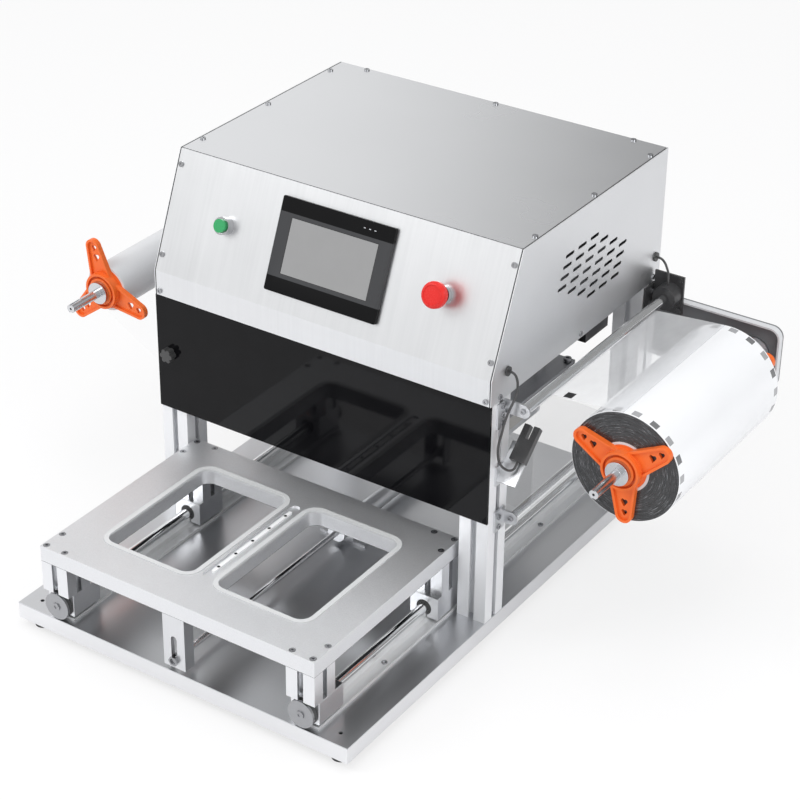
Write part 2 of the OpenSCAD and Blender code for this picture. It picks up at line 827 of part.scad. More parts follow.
module rear_panel() {
  color("lightgray") difference() {
    union() {
      box([-panel_half, house_d - sheet_t, house_low], [panel_half, house_d, house_top - sheet_t]);
      box([-panel_half + flange_w, house_d - sheet_t, house_top - 2 * sheet_t],
          [panel_half - flange_w, house_d - flange_w, house_top - sheet_t]);
    }
    for (x = top_screw_x) translate([x, house_d - rear_in, house_top - 2 * sheet_t - cut])
      cylinder(r = screw_r + fit, h = sheet_t + 2 * cut);
    box([-inlet_x - inlet_w / 2, house_d - sheet_t - cut, inlet_z - inlet_h / 2],
        [-inlet_x + inlet_w / 2, house_d + cut, inlet_z + inlet_h / 2]);
    for (x = air_x) along_y(x, inlet_z, air_r, house_d - sheet_t - cut, house_d + cut);
  }
}

inlet_x = 200;
inlet_up = 95;
inlet_z = house_low + inlet_up;
inlet_w = 28;
inlet_h = 47;
air_x = [170, 210];
air_r = 7;
air_bore = 4;

// A pan-headed screw standing on z = 0, its shank below
module screw(shank) {
  difference() {
    cylinder(r = screw_head, h = screw_t);
    translate([0, 0, screw_t / 2]) cylinder(r = screw_head / 2, h = screw_t, $fn = 6);
  }
  translate([0, 0, -shank]) cylinder(r = screw_r, h = shank);
}

module socket_bolt(shank) {
  difference() {
    cylinder(r = bolt_head, h = bolt_t);
    translate([0, 0, bolt_t / 2]) cylinder(r = bolt_head / 2, h = bolt_t, $fn = 6);
  }
  translate([0, 0, -shank]) cylinder(r = bolt_r, h = shank);
}

module frame_screws() {
  color("dimgray") {
    for (i = [-1, 1]) {
      for (v = screw_v) on_slope(i * (half_w - screw_in), v) screw(2 * sheet_t);
      for (y = top_screw_y) translate([i * (half_w - screw_in), y, house_top]) screw(2 * sheet_t);
      translate([i * (half_w - screw_in), -slope_run, side_screw_z]) rotate([90, 0, 0]) screw(sheet_t);
      for (y = side_screw_y) translate([i * half_w, y, side_screw_z]) rotate([0, i * 90, 0]) screw(sheet_t);
      for (y = rail_bolt_y, j = [-1, 1])
        translate([i * rail_x + j * rail_bolt_x, y, pan_z + rail_t]) screw(rail_t);
    }
    for (x = top_screw_x) translate([x, house_d - rear_in, house_top]) screw(2 * sheet_t);
    for (z = [-1:1]) translate([half_w + arm_plate, post_mid_f, up_foot_z + z * up_pitch])
      rotate([0, 90, 0]) screw(arm_plate);
    for (i = [-1, 1], z = [lower_z + side_bolt / 2, lower_z - side_bolt])
      translate([i * (half_w + arm_plate), post_mid_f, z]) rotate([0, i * 90, 0]) screw(arm_plate);
    for (i = [-1, 1]) translate([i * (half_w + arm_plate), post_mid_r, lower_z])
      rotate([0, i * 90, 0]) screw(arm_plate);
    for (z = enc_screw_z)
      translate([half_w + arm_plate, post_mid_r, z]) rotate([0, 90, 0]) screw(arm_plate);
    translate([upper_x, up_y[1] - arm_plate, upper_z]) rotate([90, 0, 0]) screw(axle_deep);
    for (i = [-1, 1]) translate([i * lower_x, low_y[1] - arm_plate, lower_z])
      rotate([90, 0, 0]) screw(axle_deep);
    for (i = [-1, 1], z = wing_bolt_z) translate([i * (half_w - post_s / 2), post_rear + wing_t, z])
      rotate([-90, 0, 0]) socket_bolt(wing_t);
  }
}

wing_bolt_z = [wing_low + wing_r, wing_top - wing_r];

module hmi_case() {
  color("black") on_slope(hmi_u, control_v) difference() {
    union() {
      linear_extrude(hmi_t) round_rect(hmi_w, hmi_h, hmi_r);
      translate([0, 0, -hmi_deep]) linear_extrude(hmi_deep)
        square([hmi_w - 2 * hmi_t - cut, hmi_h - 2 * hmi_t - cut], center = true);
    }
    translate([-screen_w / 2, -screen_h / 2 + screen_up, hmi_t - screen_t])
      cube([screen_w, screen_h, screen_t + cut]);
  }
}

screen_t = 1.5;
screen_sink = 0.5;

module hmi_screen() {
  color("gray") on_slope(hmi_u, control_v, hmi_t - screen_t)
    translate([-screen_w / 2, -screen_h / 2 + screen_up, 0])
      cube([screen_w, screen_h, screen_t - screen_sink]);
}

barrel_l = 22;
cap_gap = 0.4;
stem_thin = 4;
stop_ring_h = 9;
module button_rings() {
  color("silver") {
    on_slope(-start_u, control_v) difference() {
      union() {
        cylinder(r = ring_r, h = ring_h);
        translate([0, 0, -barrel_l]) cylinder(r = button_r - fit, h = barrel_l);
        translate([0, 0, -sheet_t - bolt_t]) cylinder(r = ring_r + 2 * cut, h = bolt_t, $fn = 6);
      }
      translate([0, 0, cap_h - cap_travel * 4]) cylinder(r = cap_r + cap_gap, h = ring_h);
      translate([0, 0, -barrel_l - cut]) cylinder(r = stem_thin + fit, h = barrel_l + ring_h);
    }
    on_slope(stop_u, control_v) difference() {
      union() {
        cylinder(r = ring_r, h = stop_ring_h);
        translate([0, 0, -barrel_l]) cylinder(r = button_r - fit, h = barrel_l);
        translate([0, 0, -sheet_t - bolt_t]) cylinder(r = ring_r + 2 * cut, h = bolt_t, $fn = 6);
      }
      translate([0, 0, -barrel_l - cut]) cylinder(r = stem_r + fit, h = barrel_l + ring_h + cut);
    }
  }
}

module start_cap() {
  color("green") on_slope(-start_u, control_v) {
    translate([0, 0, cap_h - cap_travel * 3 + cap_gap]) cylinder(r = cap_r, h = cap_travel * 3 - cap_gap);
    translate([0, 0, -barrel_l + cap_travel + cut])
      cylinder(r = stem_thin, h = barrel_l + cap_h - 2 * cap_travel - cut);
  }
}

module stop_stem() {
  color("dimgray") on_slope(stop_u, control_v, stop_travel + cut - barrel_l)
    cylinder(r = stem_r, h = barrel_l - stop_travel - cut + mush_top - mush_t + stem_bite);
}

stem_bite = 8;
mush_edge = 4;
module stop_head() {
  color("red") on_slope(stop_u, control_v, mush_top - mush_t) difference() {
    rotate_extrude() polygon([[0, 0], [mush_r - mush_edge * 2, 0], [mush_r - mush_edge, mush_edge],
      [mush_r - mush_edge / 2, mush_edge], [mush_r, mush_edge * 2], [mush_r, mush_t - mush_edge],
      [mush_r - mush_edge / 4, mush_t - mush_edge / 2], [mush_r - mush_edge, mush_t], [0, mush_t]]);
    translate([0, 0, -cut]) cylinder(r = stem_r + fit, h = stem_bite + cut + pass);
  }
}

knob_x = -half_w + knob_side;
knob_hole = 4;
module guard_panel() {
  color("black") difference() {
    box([-half_w, -slope_run, guard_low], [half_w, -slope_run + guard_t, house_low - cut / 2]);
    along_y(knob_x, knob_z, knob_hole + fit, -slope_run - cut, -slope_run + guard_t + cut);
  }
}

lobe_r = 4;
module guard_knob() {
  color("black") {
    translate([knob_x, -slope_run - pass, knob_z]) rotate([90, 0, 0]) {
      cylinder(r = knob_r - lobe_r, h = knob_t);
      for (a = [0:60:300]) rotate(a) translate([knob_r - lobe_r, 0, 0]) cylinder(r = lobe_r, h = knob_t);
      cylinder(r = knob_r - lobe_r / 2, h = knob_t - lobe_r / 2);
    }
    along_y(knob_x, knob_z, knob_hole, -slope_run - pass - cut, -slope_run + guard_t);
  }
}

module l_bracket(i, x, z, y, w, h, foot) {
  box([i * half_w, y[0], foot - h / 2], [i * (half_w + arm_plate), y[1], foot + h / 2]);
  difference() {
    union() {
      box([i * half_w, y[1] - arm_plate, z - w / 2], [i * x, y[1], z + w / 2]);
      along_y(i * x, z, w / 2, y[1] - arm_plate, y[1]);
    }
    along_y(i * x, z, screw_r + fit, y[1] - arm_plate - cut, y[1] + cut);
  }
}

up_h = 43;
up_pitch = 14;
low_h = 36;
module side_brackets() {
  color("gray") difference() {
    union() {
      l_bracket(1, upper_x, upper_z, up_y, bracket_w, up_h, up_foot_z);
      for (i = [-1, 1]) l_bracket(i, lower_x, lower_z, low_y, bracket_w, low_h, lower_z);
      for (i = [-1, 1]) {
        box([i * half_w, post_near + arm_plate, lower_z - bracket_w / 2],
            [i * (half_w + arm_plate), post_rear - arm_plate, lower_z + bracket_w / 2]);
        box([i * half_w, post_near + arm_plate, lower_z - bracket_w / 2],
            [i * lower_x, post_near, lower_z + bracket_w / 2]);
        along_y(i * lower_x, lower_z, bracket_w / 2, post_near, post_near + arm_plate);
      }
      box([half_w, sense_y, sense_z - bracket_w / 2],
          [half_w + arm_plate, sense_y + bracket_w, sense_z + bracket_w]);
      translate([half_w, sense_y, sense_z]) rotate([sense_tilt, 0, 0])
        box([0, 0, -sense_back], [film_x - half_w + sense_w / 2 - sense_gap / 2, sense_plate, 0]);
    }
    for (z = [-1:1]) along_x(post_mid_f, up_foot_z + z * up_pitch, screw_r + fit,
      half_w - cut, half_w + arm_plate + cut);
    for (i = [-1, 1], z = [lower_z + side_bolt / 2, lower_z - side_bolt])
      along_x(post_mid_f, z, screw_r + fit, i > 0 ? half_w - cut : -half_w - arm_plate - cut,
        i > 0 ? half_w + arm_plate + cut : -half_w + cut);
    for (i = [-1, 1])
      along_x(post_mid_r, lower_z, screw_r + fit, i > 0 ? half_w - cut : -half_w - arm_plate - cut,
        i > 0 ? half_w + arm_plate + cut : -half_w + cut);
    for (i = [-1, 1])
      along_y(i * lower_x, lower_z, axle_r + fit, post_near - cut, post_near + arm_plate + cut);
  }
}

axle_r = 4;
// A guide roller between two y values, with a bore for the front axle screw and a rear stub
module roller(x, z, a, b, stub) {
  difference() {
    along_y(x, z, roller_r, a, b);
    along_y(x, z, screw_r + fit, a - cut, a + axle_deep);
  }
  along_y(x, z, axle_r, b, b + stub);
}

module upper_roller() {
  color("silver") roller(upper_x, upper_z, up_y[1] + roller_gap, roller_back, enc_l / 2);
}
module right_roller() {
  color("silver") roller(lower_x, lower_z, low_y[1] + roller_gap, low_back, low_stub);
}
module left_roller() {
  color("silver") roller(-lower_x, lower_z, low_y[1] + roller_gap, low_back, low_stub);
}
low_stub = post_near + arm_plate - low_back;

module wing2d() {
  w = wing_x - half_w + post_s;
  h = wing_top - wing_low;
  translate([half_w - post_s, wing_low]) square([w - wing_r, h]);
  translate([half_w - post_s, wing_low + wing_r]) square([w, h - 2 * wing_r]);
  for (z = [wing_low + wing_r, wing_top - wing_r]) translate([wing_x - wing_r, z]) circle(wing_r);
}

module wing_inner2d() {
  h = wing_top - wing_low;
  r = wing_r - wing_t;
  translate([half_w - cut, wing_low + wing_t]) square([wing_x - half_w - wing_r + cut, h - 2 * wing_t]);
  translate([half_w - cut, wing_low + wing_r]) square([wing_x - half_w - wing_t + cut, h - 2 * wing_r]);
  for (z = [wing_low + wing_r, wing_top - wing_r]) translate([wing_x - wing_r, z]) circle(r);
}

module carrier() {
  difference() {
    xz(post_rear + wing_t, wing_t) wing2d();
    along_y(roll_x, roll_z, shaft_r + cut, post_rear - cut, post_rear + wing_t + cut);
    for (z = wing_bolt_z) along_y(half_w - post_s / 2, z, bolt_r + fit,
      post_rear - cut, post_rear + wing_t + cut);
  }
  difference() {
    xz(post_rear, wing_rim) wing2d();
    translate([0, cut, 0]) xz(post_rear, wing_rim + 2 * cut) wing_inner2d();
    box([half_w - post_s - cut, post_rear + cut, wing_low - cut],
        [half_w + pass, post_rear - wing_rim - cut, wing_top + cut]);
  }
}

module roll_carriers() {
  color("lightgray") { carrier(); mirror([1, 0, 0]) carrier(); }
}

module shaft_bearings() {
  color("silver") for (i = [-1, 1]) difference() {
    union() {
      along_y(i * roll_x, roll_z, hous_r, post_rear - hous_l, post_rear);
      along_y(i * roll_x, roll_z, hous_r + bolt_head, post_rear - bolt_t, post_rear);
    }
    along_y(i * roll_x, roll_z, shaft_r + fit, post_rear - hous_l - cut, post_rear + cut);
  }
}

module rewind_motor() {
  color("dimgray") difference() {
    union() {
      box([-roll_x - motor_w / 2, post_rear + wing_t, roll_z - motor_w / 2],
          [-roll_x + motor_w / 2, post_rear + wing_t + gear_l, roll_z + motor_w / 2]);
      along_y(-roll_x, roll_z, motor_r, post_rear + wing_t + gear_l, post_rear + wing_t + gear_l + motor_l);
    }
    along_y(-roll_x, roll_z, shaft_r + fit, post_rear + wing_t - cut, shaft_end + cut);
  }
}

module encoder() {
  difference() {
    union() {
      along_y(upper_x, upper_z, enc_r, enc_y, enc_plate_y);
      box([half_w + arm_plate, enc_plate_y, upper_z - enc_h / 2],
          [upper_x + enc_w / 2, enc_plate_y + enc_plate_t, upper_z + enc_h / 2]);
      box([half_w, post_near + arm_plate, upper_z - enc_h / 2],
          [half_w + arm_plate, enc_plate_y + enc_plate_t, house_low - cut]);
    }
    along_y(upper_x, upper_z, axle_r + fit, enc_y - cut, enc_y + enc_l / 2 + cut);
    for (z = enc_screw_z) along_x(post_mid_r, z, screw_r + fit, half_w - cut, half_w + arm_plate + cut);
  }
  for (z = [-1, 1]) along_y(upper_x + enc_w / 2 - bolt_head, upper_z + z * (enc_h / 2 - bolt_head),
    screw_head, enc_plate_y - screw_t, enc_plate_y);
}

module fork() {
  translate([film_x, sense_y, sense_z]) rotate([sense_tilt, 0, 0]) difference() {
    box([-sense_w / 2, sense_from, 0], [sense_w / 2, sense_from + sense_len, sense_t]);
    box([-sense_gap / 2, sense_from + sense_len - sense_fork, -cut],
        [sense_gap / 2, sense_from + sense_len + cut, sense_t + cut]);
  }
}

module film_sensors() {
  color("black") { encoder(); fork(); }
}

// A tube of n sides round a route
function unit3(v) = v / norm(v);
function ahead(p, i) = unit3(p[min(i + 1, len(p) - 1)] - p[max(i - 1, 0)]);
function side3(t) = unit3(cross(t, cable_side_share));
module tube(p, r, n) {
  pts = [for (i = [0:len(p) - 1]) let (t = ahead(p, i), a = side3(t), b = cross(t, a))
    for (k = [0:n - 1]) p[i] + r * (cos(k * 360 / n) * a + sin(k * 360 / n) * b)];
  m = len(p);
  polyhedron(pts, concat([[for (k = [0:n - 1]) k]],
    [for (i = [0:m - 2], k = [0:n - 1]) [i * n + k, (i + 1) * n + k,
      (i + 1) * n + (k + 1) % n, i * n + (k + 1) % n]],
    [[for (k = [n - 1:-1:0]) (m - 1) * n + k]]));
}

module sensor_cable() { color("black") tube(sensor_route, cable_r, 8); }
module encoder_cable() { color("black") tube(encoder_route, cable_r, 8); }

plc_side = 60;
plc_x = half_w - plc_side;
plc_w = 70;
plc_l = 140;
plc_back = 140;
plc_y = [house_d - plc_back - plc_l, house_d - plc_back];
plc_share = 0.483;
plc_h = (house_top - beam_top) * plc_share;
block_s = 30;
block_deep = 34;
module control_modules() {
  color("dimgray") {
    for (i = [-1, 1]) difference() {
      box([i * plc_x - plc_w / 2, plc_y[0], beam_top], [i * plc_x + plc_w / 2, plc_y[1], beam_top + plc_h]);
      for (y = [plc_y[0] + flange_w:flange_w:plc_y[1] - cut])
        box([i * plc_x - plc_w / 3, y, beam_top + plc_h - cut],
            [i * plc_x + plc_w / 3, y + vent_h, beam_top + plc_h + cut]);
    }
    for (u = [-start_u, stop_u]) on_slope(u, control_v, -barrel_l - block_deep)
      linear_extrude(block_deep) square(block_s, center = true);
  }
}

valve_side = 55;
valve_w = 40;
valve_x = [half_w - valve_side - valve_w, half_w - valve_side];
valve_back = 58;
valve_l = 72;
valve_y = [house_d - valve_back - valve_l, house_d - valve_back];
valve_h = 80;
valve_rib_share = 0.6;
valve_ribs = 4;
module valve_manifold() {
  color("black") {
    box([valve_x[0], valve_y[0], house_low - valve_h],
        [valve_x[1], valve_y[1], house_low - valve_h * valve_rib_share]);
    for (k = [0:valve_ribs - 1]) let (s = (valve_y[1] - valve_y[0]) / valve_ribs)
      box([valve_x[0] + bolt_t, valve_y[0] + k * s + sheet_t, house_low - valve_h * valve_rib_share],
          [valve_x[1] - bolt_t, valve_y[0] + (k + 1) * s - sheet_t, house_low]);
  }
}

fit_out = 18;
inlet_rim = 5;
module panel_fittings() {
  color("black") {
    for (y = side_hole_y) {
      along_x(y, side_hole_z, grommet_r, half_w - sheet_t, half_w);
      along_x(y, side_hole_z, grommet_head, half_w, half_w + grommet_t);
    }
    box([-inlet_x - inlet_w / 2, house_d - flange_w, inlet_z - inlet_h / 2],
        [-inlet_x + inlet_w / 2, house_d, inlet_z + inlet_h / 2]);
    difference() {
      box([-inlet_x - inlet_w / 2 - inlet_rim, house_d, inlet_z - inlet_h / 2 - inlet_rim],
          [-inlet_x + inlet_w / 2 + inlet_rim, house_d + inlet_rim, inlet_z + inlet_h / 2 + inlet_rim]);
      box([-inlet_x - inlet_w / 2 + inlet_rim, house_d + sheet_t, inlet_z - inlet_h / 3],
          [-inlet_x + inlet_w / 2 - inlet_rim, house_d + inlet_rim + cut, inlet_z + inlet_h / 3]);
    }
    for (x = air_x) difference() {
      union() {
        along_y(x, inlet_z, air_r - fit, house_d - fit_out, house_d + fit_out);
        translate([x, house_d, inlet_z]) rotate([-90, 0, 0])
          cylinder(r = air_r + sheet_t, h = fit_out / 2, $fn = 6);
      }
      along_y(x, inlet_z, air_bore, house_d - sheet_t, house_d + fit_out + cut);
    }
  }
}

module bearing_blocks() {
  color("silver") for (i = [-1, 1], y = block_mid) difference() {
    box([i * rail_x - block_w / 2, y - block_l / 2, block_low],
        [i * rail_x + block_w / 2, y + block_l / 2, block_top]);
    along_y(i * rail_x, rod_z, rod_r + fit, y - block_l / 2 - cut, y + block_l / 2 + cut);
    for (j = [-1, 1])
      along_y(i * rail_x, rod_z, seal_r, y + j * block_l / 2 - seal_t, y + j * block_l / 2 + seal_t);
    box([i * rail_x - slot_gap / 2, y - block_l / 2 - cut, block_low - cut],
        [i * rail_x + slot_gap / 2, y + block_l / 2 + cut, rod_z - rod_r / 2]);
  }
}

module block_seals() {
  color("black") for (i = [-1, 1], y = block_mid, j = [-1, 1]) difference() {
    along_y(i * rail_x, rod_z, seal_r - fit, y + j * (block_l - seal_t) / 2 - seal_t / 2,
      y + j * (block_l - seal_t) / 2 + seal_t / 2);
    along_y(i * rail_x, rod_z, rod_r + pass, y - block_l, y + block_l);
    box([i * rail_x - slot_gap / 2, y - block_l, block_low - cut],
        [i * rail_x + slot_gap / 2, y + block_l, rod_z - rod_r / 2]);
  }
}

carr_y = [plate_front + post_s / 2, plate_rear - post_s / 2];
module carriage_posts() {
  color("silver") for (i = [-1, 1], y = carr_y)
    translate([i * post_c, y, block_top]) post(plate_low - block_top);
}

module plate_bolts() {
  for (i = [-1, 1], j = [0, 1]) let (s = j == 0 ? -1 : 1)
    for (k = [[1, 1], [-1, 1], [1, -1]])
      translate([i * (post_c + k[0] * plate_bolt), carr_y[j] + s * k[1] * plate_bolt, plate_top]) children();
}

module tray_plate() {
  color("silver") difference() {
    box([-plate_w / 2, plate_front, plate_low], [plate_w / 2, plate_rear, plate_top]);
    for (i = [-1, 1]) translate([i * pocket_x, pocket_mid, 0]) {
      translate([0, 0, plate_top - seat_d]) linear_extrude(seat_d + cut)
        round_rect(pocket_w, pocket_l, pocket_r);
      translate([0, 0, plate_low - cut]) linear_extrude(plate_t + cut)
        round_rect(pocket_w - 2 * seat_w, pocket_l - 2 * seat_w, pocket_r - seat_w);
    }
    translate([0, pocket_mid, plate_top - channel_d]) linear_extrude(channel_d + cut)
      rotate(90) slot2d(channel_l, channel_w);
    plate_bolts() translate([0, 0, -plate_bolt_t]) cylinder(r = plate_bore_r, h = plate_bolt_t + cut);
    plate_bolts() translate([0, 0, -plate_t - cut]) cylinder(r = screw_r + fit, h = plate_t);
  }
}

module pocket_gaskets() {
  color("white") for (i = [-1, 1]) translate([i * pocket_x, pocket_mid, plate_top - seat_d]) difference() {
    linear_extrude(gasket_t) round_rect(pocket_w - 2 * set_gap, pocket_l - 2 * set_gap, pocket_r - set_gap);
    translate([0, 0, -cut]) linear_extrude(gasket_t + 2 * cut)
      round_rect(pocket_w - 2 * seat_w, pocket_l - 2 * seat_w, pocket_r - seat_w);
  }
}

module gas_strip() {
  color("white") translate([0, pocket_mid, plate_top - channel_d]) difference() {
    linear_extrude(channel_d) rotate(90) slot2d(strip_l, strip_w);
    for (k = [0:gas_count - 1]) translate([0, (k - (gas_count - 1) / 2) * strip_l / (gas_count - gas_end_share), -cut])
      cylinder(r = gas_r, h = channel_d + 2 * cut);
  }
}

module carriage_screws() {
  color("dimgray") {
    plate_bolts() translate([0, 0, -plate_bolt_t]) {
      difference() {
        cylinder(r = plate_bolt_r, h = plate_bolt_t);
        translate([0, 0, plate_bolt_t / 2]) cylinder(r = plate_bolt_r / 2, h = plate_bolt_t, $fn = 6);
      }
      translate([0, 0, -plate_t + plate_bolt_t]) cylinder(r = screw_r, h = plate_t - plate_bolt_t);
    }
    translate([0, plate_front, dcyl_z]) rotate([90, 0, 0]) difference() {
      cylinder(r = nut_r, h = bolt_t, $fn = 6);
      translate([0, 0, bolt_t / 2]) cylinder(r = drod_r, h = bolt_t);
    }
    translate([0, web_back, dcyl_z]) rotate([-90, 0, 0]) difference() {
      cylinder(r = nut_r, h = nut_t, $fn = 6);
      translate([0, 0, -cut]) cylinder(r = drod_r + fit, h = nut_t + 2 * cut);
    }
  }
}

module drive_bracket() {
  color("silver") difference() {
    union() {
      box([-drive_w / 2, plate_front, drive_low], [drive_w / 2, web_back, plate_low]);
      for (i = [-1, 1]) box([i * drive_w / 2, web_back, drive_low],
        [i * (drive_w / 2 - drive_t), web_back + drive_d, plate_low]);
      box([-drive_w / 2, web_back, plate_low - drive_t], [drive_w / 2, web_back + drive_d, plate_low]);
    }
    xz(web_back + cut, drive_t + 2 * cut)
      translate([0, dcyl_z + (drive_slot_h - drive_slot_w) / 2]) rotate(90)
        slot2d(drive_slot_h, drive_slot_w);
  }
}

module drawer_rod() {
  piston = dcyl_front + dcap_front + cut;
  color("silver") {
    along_y(0, dcyl_z, drod_r, plate_front, piston);
    along_y(0, dcyl_z, dcyl_bore - fit, piston, piston + dpiston_t);
  }
}

module press_rod() {
  color("silver") translate([0, press_y, 0]) {
    translate([0, 0, head_top]) cylinder(r = prod_r, h = piston_up - head_top);
    translate([0, 0, piston_up - ppiston_t]) cylinder(r = pcyl_bore - fit, h = ppiston_t);
    translate([0, 0, head_top]) cylinder(r = prod_r + bolt_head, h = bolt_t * 2);
  }
}

module guide_rods() {
  color("silver") for (i = [-1, 1], j = [-1, 1]) translate([i * guide_x, press_y + j * guide_y, head_top])
    cylinder(r = guide_r, h = guide_end - head_top);
}

module head_plate() {
  color("silver") {
    box([-head_w / 2, press_y - head_l / 2, head_under], [head_w / 2, press_y + head_l / 2, head_top]);
    for (i = [-1, 1], j = [-1, 1])
      translate([i * (head_w / 2 - plate_bolt / 2), press_y + j * (head_l / 2 - plate_bolt / 2), head_top])
        difference() {
          cylinder(r = bolt_head, h = bolt_t);
          translate([0, 0, bolt_t / 2]) cylinder(r = bolt_head / 2, h = bolt_t, $fn = 6);
        }
  }
}

module insulation_board() {
  color("ivory") box([-head_w / 2 + mould_wall, press_y - head_l / 2 + mould_flange, heater_top],
    [head_w / 2 - mould_wall, press_y + head_l / 2 - mould_flange, head_under]);
}

module heater_block() {
  color("gray") difference() {
    box([-head_w / 2 + mould_wall, press_y - head_l / 2 + mould_flange, heater_low],
        [head_w / 2 - mould_wall, press_y + head_l / 2 - mould_flange, heater_top]);
    for (k = [0:heater_rows - 1])
      along_y((k - (heater_rows - 1) / 2) * heater_pitch, (heater_low + heater_top) / 2,
        heater_bore, press_y - head_l / 2, press_y + head_l / 3);
  }
}

module seal_moulds() {
  color("gray") for (i = [-1, 1]) translate([i * pocket_x, press_y, 0]) difference() {
    union() {
      translate([0, 0, mould_low]) linear_extrude(heater_low - mould_low)
        round_rect(pocket_w - 2 * set_gap, pocket_l - 2 * set_gap, pocket_r - set_gap);
      translate([0, 0, heater_low - mould_flange]) linear_extrude(mould_flange)
        round_rect(pocket_w + mould_wall, pocket_l + mould_wall / 2, mould_wall);
    }
    translate([0, 0, mould_low - cut]) linear_extrude(mould_in + cut)
      round_rect(pocket_w - 2 * mould_wall, pocket_l - 2 * mould_wall, pocket_r - mould_wall);
  }
}

// Chuck arm outline along +x from the hub
module arm2d(inset) {
  x = arm_reach - arm_tip;
  translate([x, 0]) circle(arm_tip - inset);
  polygon([[0, -arm_root + inset], [x, -arm_tip + inset], [x, arm_tip - inset], [0, arm_root - inset]]);
}

heart_r = 3.2;
heart_from_share = 0.63;
heart_to_share = 0.82;
heart_small_r = 2.6;
heart_lobe_share = [0.8, 0.6];
heart_side_share = [1.7, 0.2];
heart_tip_share = 2.4;
module heart2d(r) {
  lobe = r * heart_lobe_share;
  side = r * heart_side_share;
  for (s = [-1, 1]) translate([s * lobe[0], lobe[1]]) circle(r);
  polygon([[-side[0], side[1]], [0, -r * heart_tip_share], side, [0, r]]);
}

// One chuck, its arms' back at z = 0 and its front towards +Z, its plug below
module chuck(turn) {
  difference() {
    union() {
      for (a = [0:120:240]) rotate(turn + a) linear_extrude(arm_t) arm2d(0);
      cylinder(r = hub_r, h = arm_t + hub_h);
      translate([0, 0, -plug_l]) cylinder(r = plug_r, h = plug_l);
    }
    for (a = [0:120:240]) rotate(turn + a) translate([0, 0, arm_t - arm_rim]) difference() {
      linear_extrude(arm_rim + cut) arm2d(arm_edge);
      translate([0, 0, -cut]) cylinder(r = hub_r + cut, h = arm_rim + 3 * cut);
    }
    for (a = [0:120:240]) rotate(turn + a) {
      translate([arm_reach * heart_from_share, 0, -cut]) linear_extrude(arm_t)
        rotate(-turn - a) heart2d(heart_r);
      translate([arm_reach * heart_to_share, 0, -cut]) linear_extrude(arm_t)
        rotate(-turn - a) heart2d(heart_small_r);
    }
    translate([0, 0, arm_t + cut]) difference() {
      cylinder(r = hub_r - arm_edge, h = hub_h);
      translate([0, 0, -cut]) cylinder(r = hub_r - 2 * arm_edge, h = hub_h + 2 * cut);
    }
    translate([0, 0, arm_t + hub_h - arm_rim]) cylinder(r = collar_r - arm_edge / 2, h = arm_rim + cut);
    translate([0, 0, -plug_l - cut]) cylinder(r = shaft_r + fit, h = plug_l + arm_t + hub_h + 2 * cut);
  }
}

module chuck_pair(x, turn) {
  translate([x, film_y, roll_z]) rotate([90, 0, 0]) chuck(turn);
  translate([x, film_back, roll_z]) rotate([-90, 0, 0]) chuck(-turn);
}

key_w = 4;
key_d = 1.5;
key_l = 26;
tip_hole = 2;
tip_deep = 10;
// A shaft with its two clamping collars; the collars hold the chucks from both ends
module spindle(x) {
  difference() {
    along_y(x, roll_z, shaft_r, shaft_tip, shaft_end);
    along_y(x, roll_z, tip_hole, shaft_tip - cut, shaft_tip + tip_deep);
    for (s = [-1, 1]) box([x - key_w / 2, shaft_tip - cut, roll_z + s * (shaft_r - key_d)],
      [x + key_w / 2, shaft_tip + key_l, roll_z + s * (shaft_r + cut)]);
  }
  for (y = [hub_y + arm_rim - collar_t, chuck_back + hub_h - arm_rim])
    difference() {
      along_y(x, roll_z, y > 0 ? collar_r - arm_edge : collar_r - arm_edge / 2 - fit, y, y + collar_t);
      along_y(x, roll_z, shaft_r, y - cut, y + collar_t + cut);
    }
}

module unwind_spindle() { color("silver") spindle(roll_x); }
module rewind_spindle() { color("silver") spindle(-roll_x); }
module unwind_chucks() { color("orangered") chuck_pair(roll_x, unwind_turn); }
module rewind_chucks() { color("orangered") chuck_pair(-roll_x, rewind_turn); }

module core_tube(x) {
  difference() {
    along_y(x, roll_z, tube_r, film_y, film_back);
    along_y(x, roll_z, tube_r - tube_t, film_y - cut, film_back + cut);
  }
}

module unwind_core() { color("lightgray") core_tube(roll_x); }
module rewind_core() { color("lightgray") core_tube(-roll_x); }

module film_roll() {
  color("white") difference() {
    along_y(roll_x, roll_z, roll_r, film_y, film_back);
    along_y(roll_x, roll_z, tube_r, film_y - cut, film_back + cut);
  }
}

module film_web() {
  color("white") xz(film_back - web_in, film_w - 2 * web_in)
    polygon(concat(film_side(film_t / 2), flip(film_side(-film_t / 2))));
}

base_pan();
base_feet();
rail_supports();
rail_rods();
rail_stops();
rail_bumpers();
main_posts();
head_beam();
guide_bushes();
press_cylinder();
drawer_cylinder();
side_panels();
front_panel();
top_panel();
rear_panel();
frame_screws();
hmi_case();
hmi_screen();
button_rings();
guard_panel();
side_brackets();
roll_carriers();
shaft_bearings();
rewind_motor();
film_sensors();
sensor_cable();
encoder_cable();
panel_fittings();
control_modules();
valve_manifold();
bearing_blocks();
block_seals();
carriage_posts();
tray_plate();
pocket_gaskets();
gas_strip();
carriage_screws();
drive_bracket();
drawer_rod();
press_rod();
guide_rods();
head_plate();
insulation_board();
heater_block();
seal_moulds();
start_cap();
stop_stem();
stop_head();
guard_knob();
upper_roller();
right_roller();
left_roller();
unwind_spindle();
unwind_chucks();
unwind_core();
film_roll();
rewind_spindle();
rewind_chucks();
rewind_core();
film_web();
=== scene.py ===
import math
import random

import bmesh
import bpy
from bpy.props import FloatProperty, FloatVectorProperty, IntProperty, PointerProperty
from mathutils import Matrix, Vector


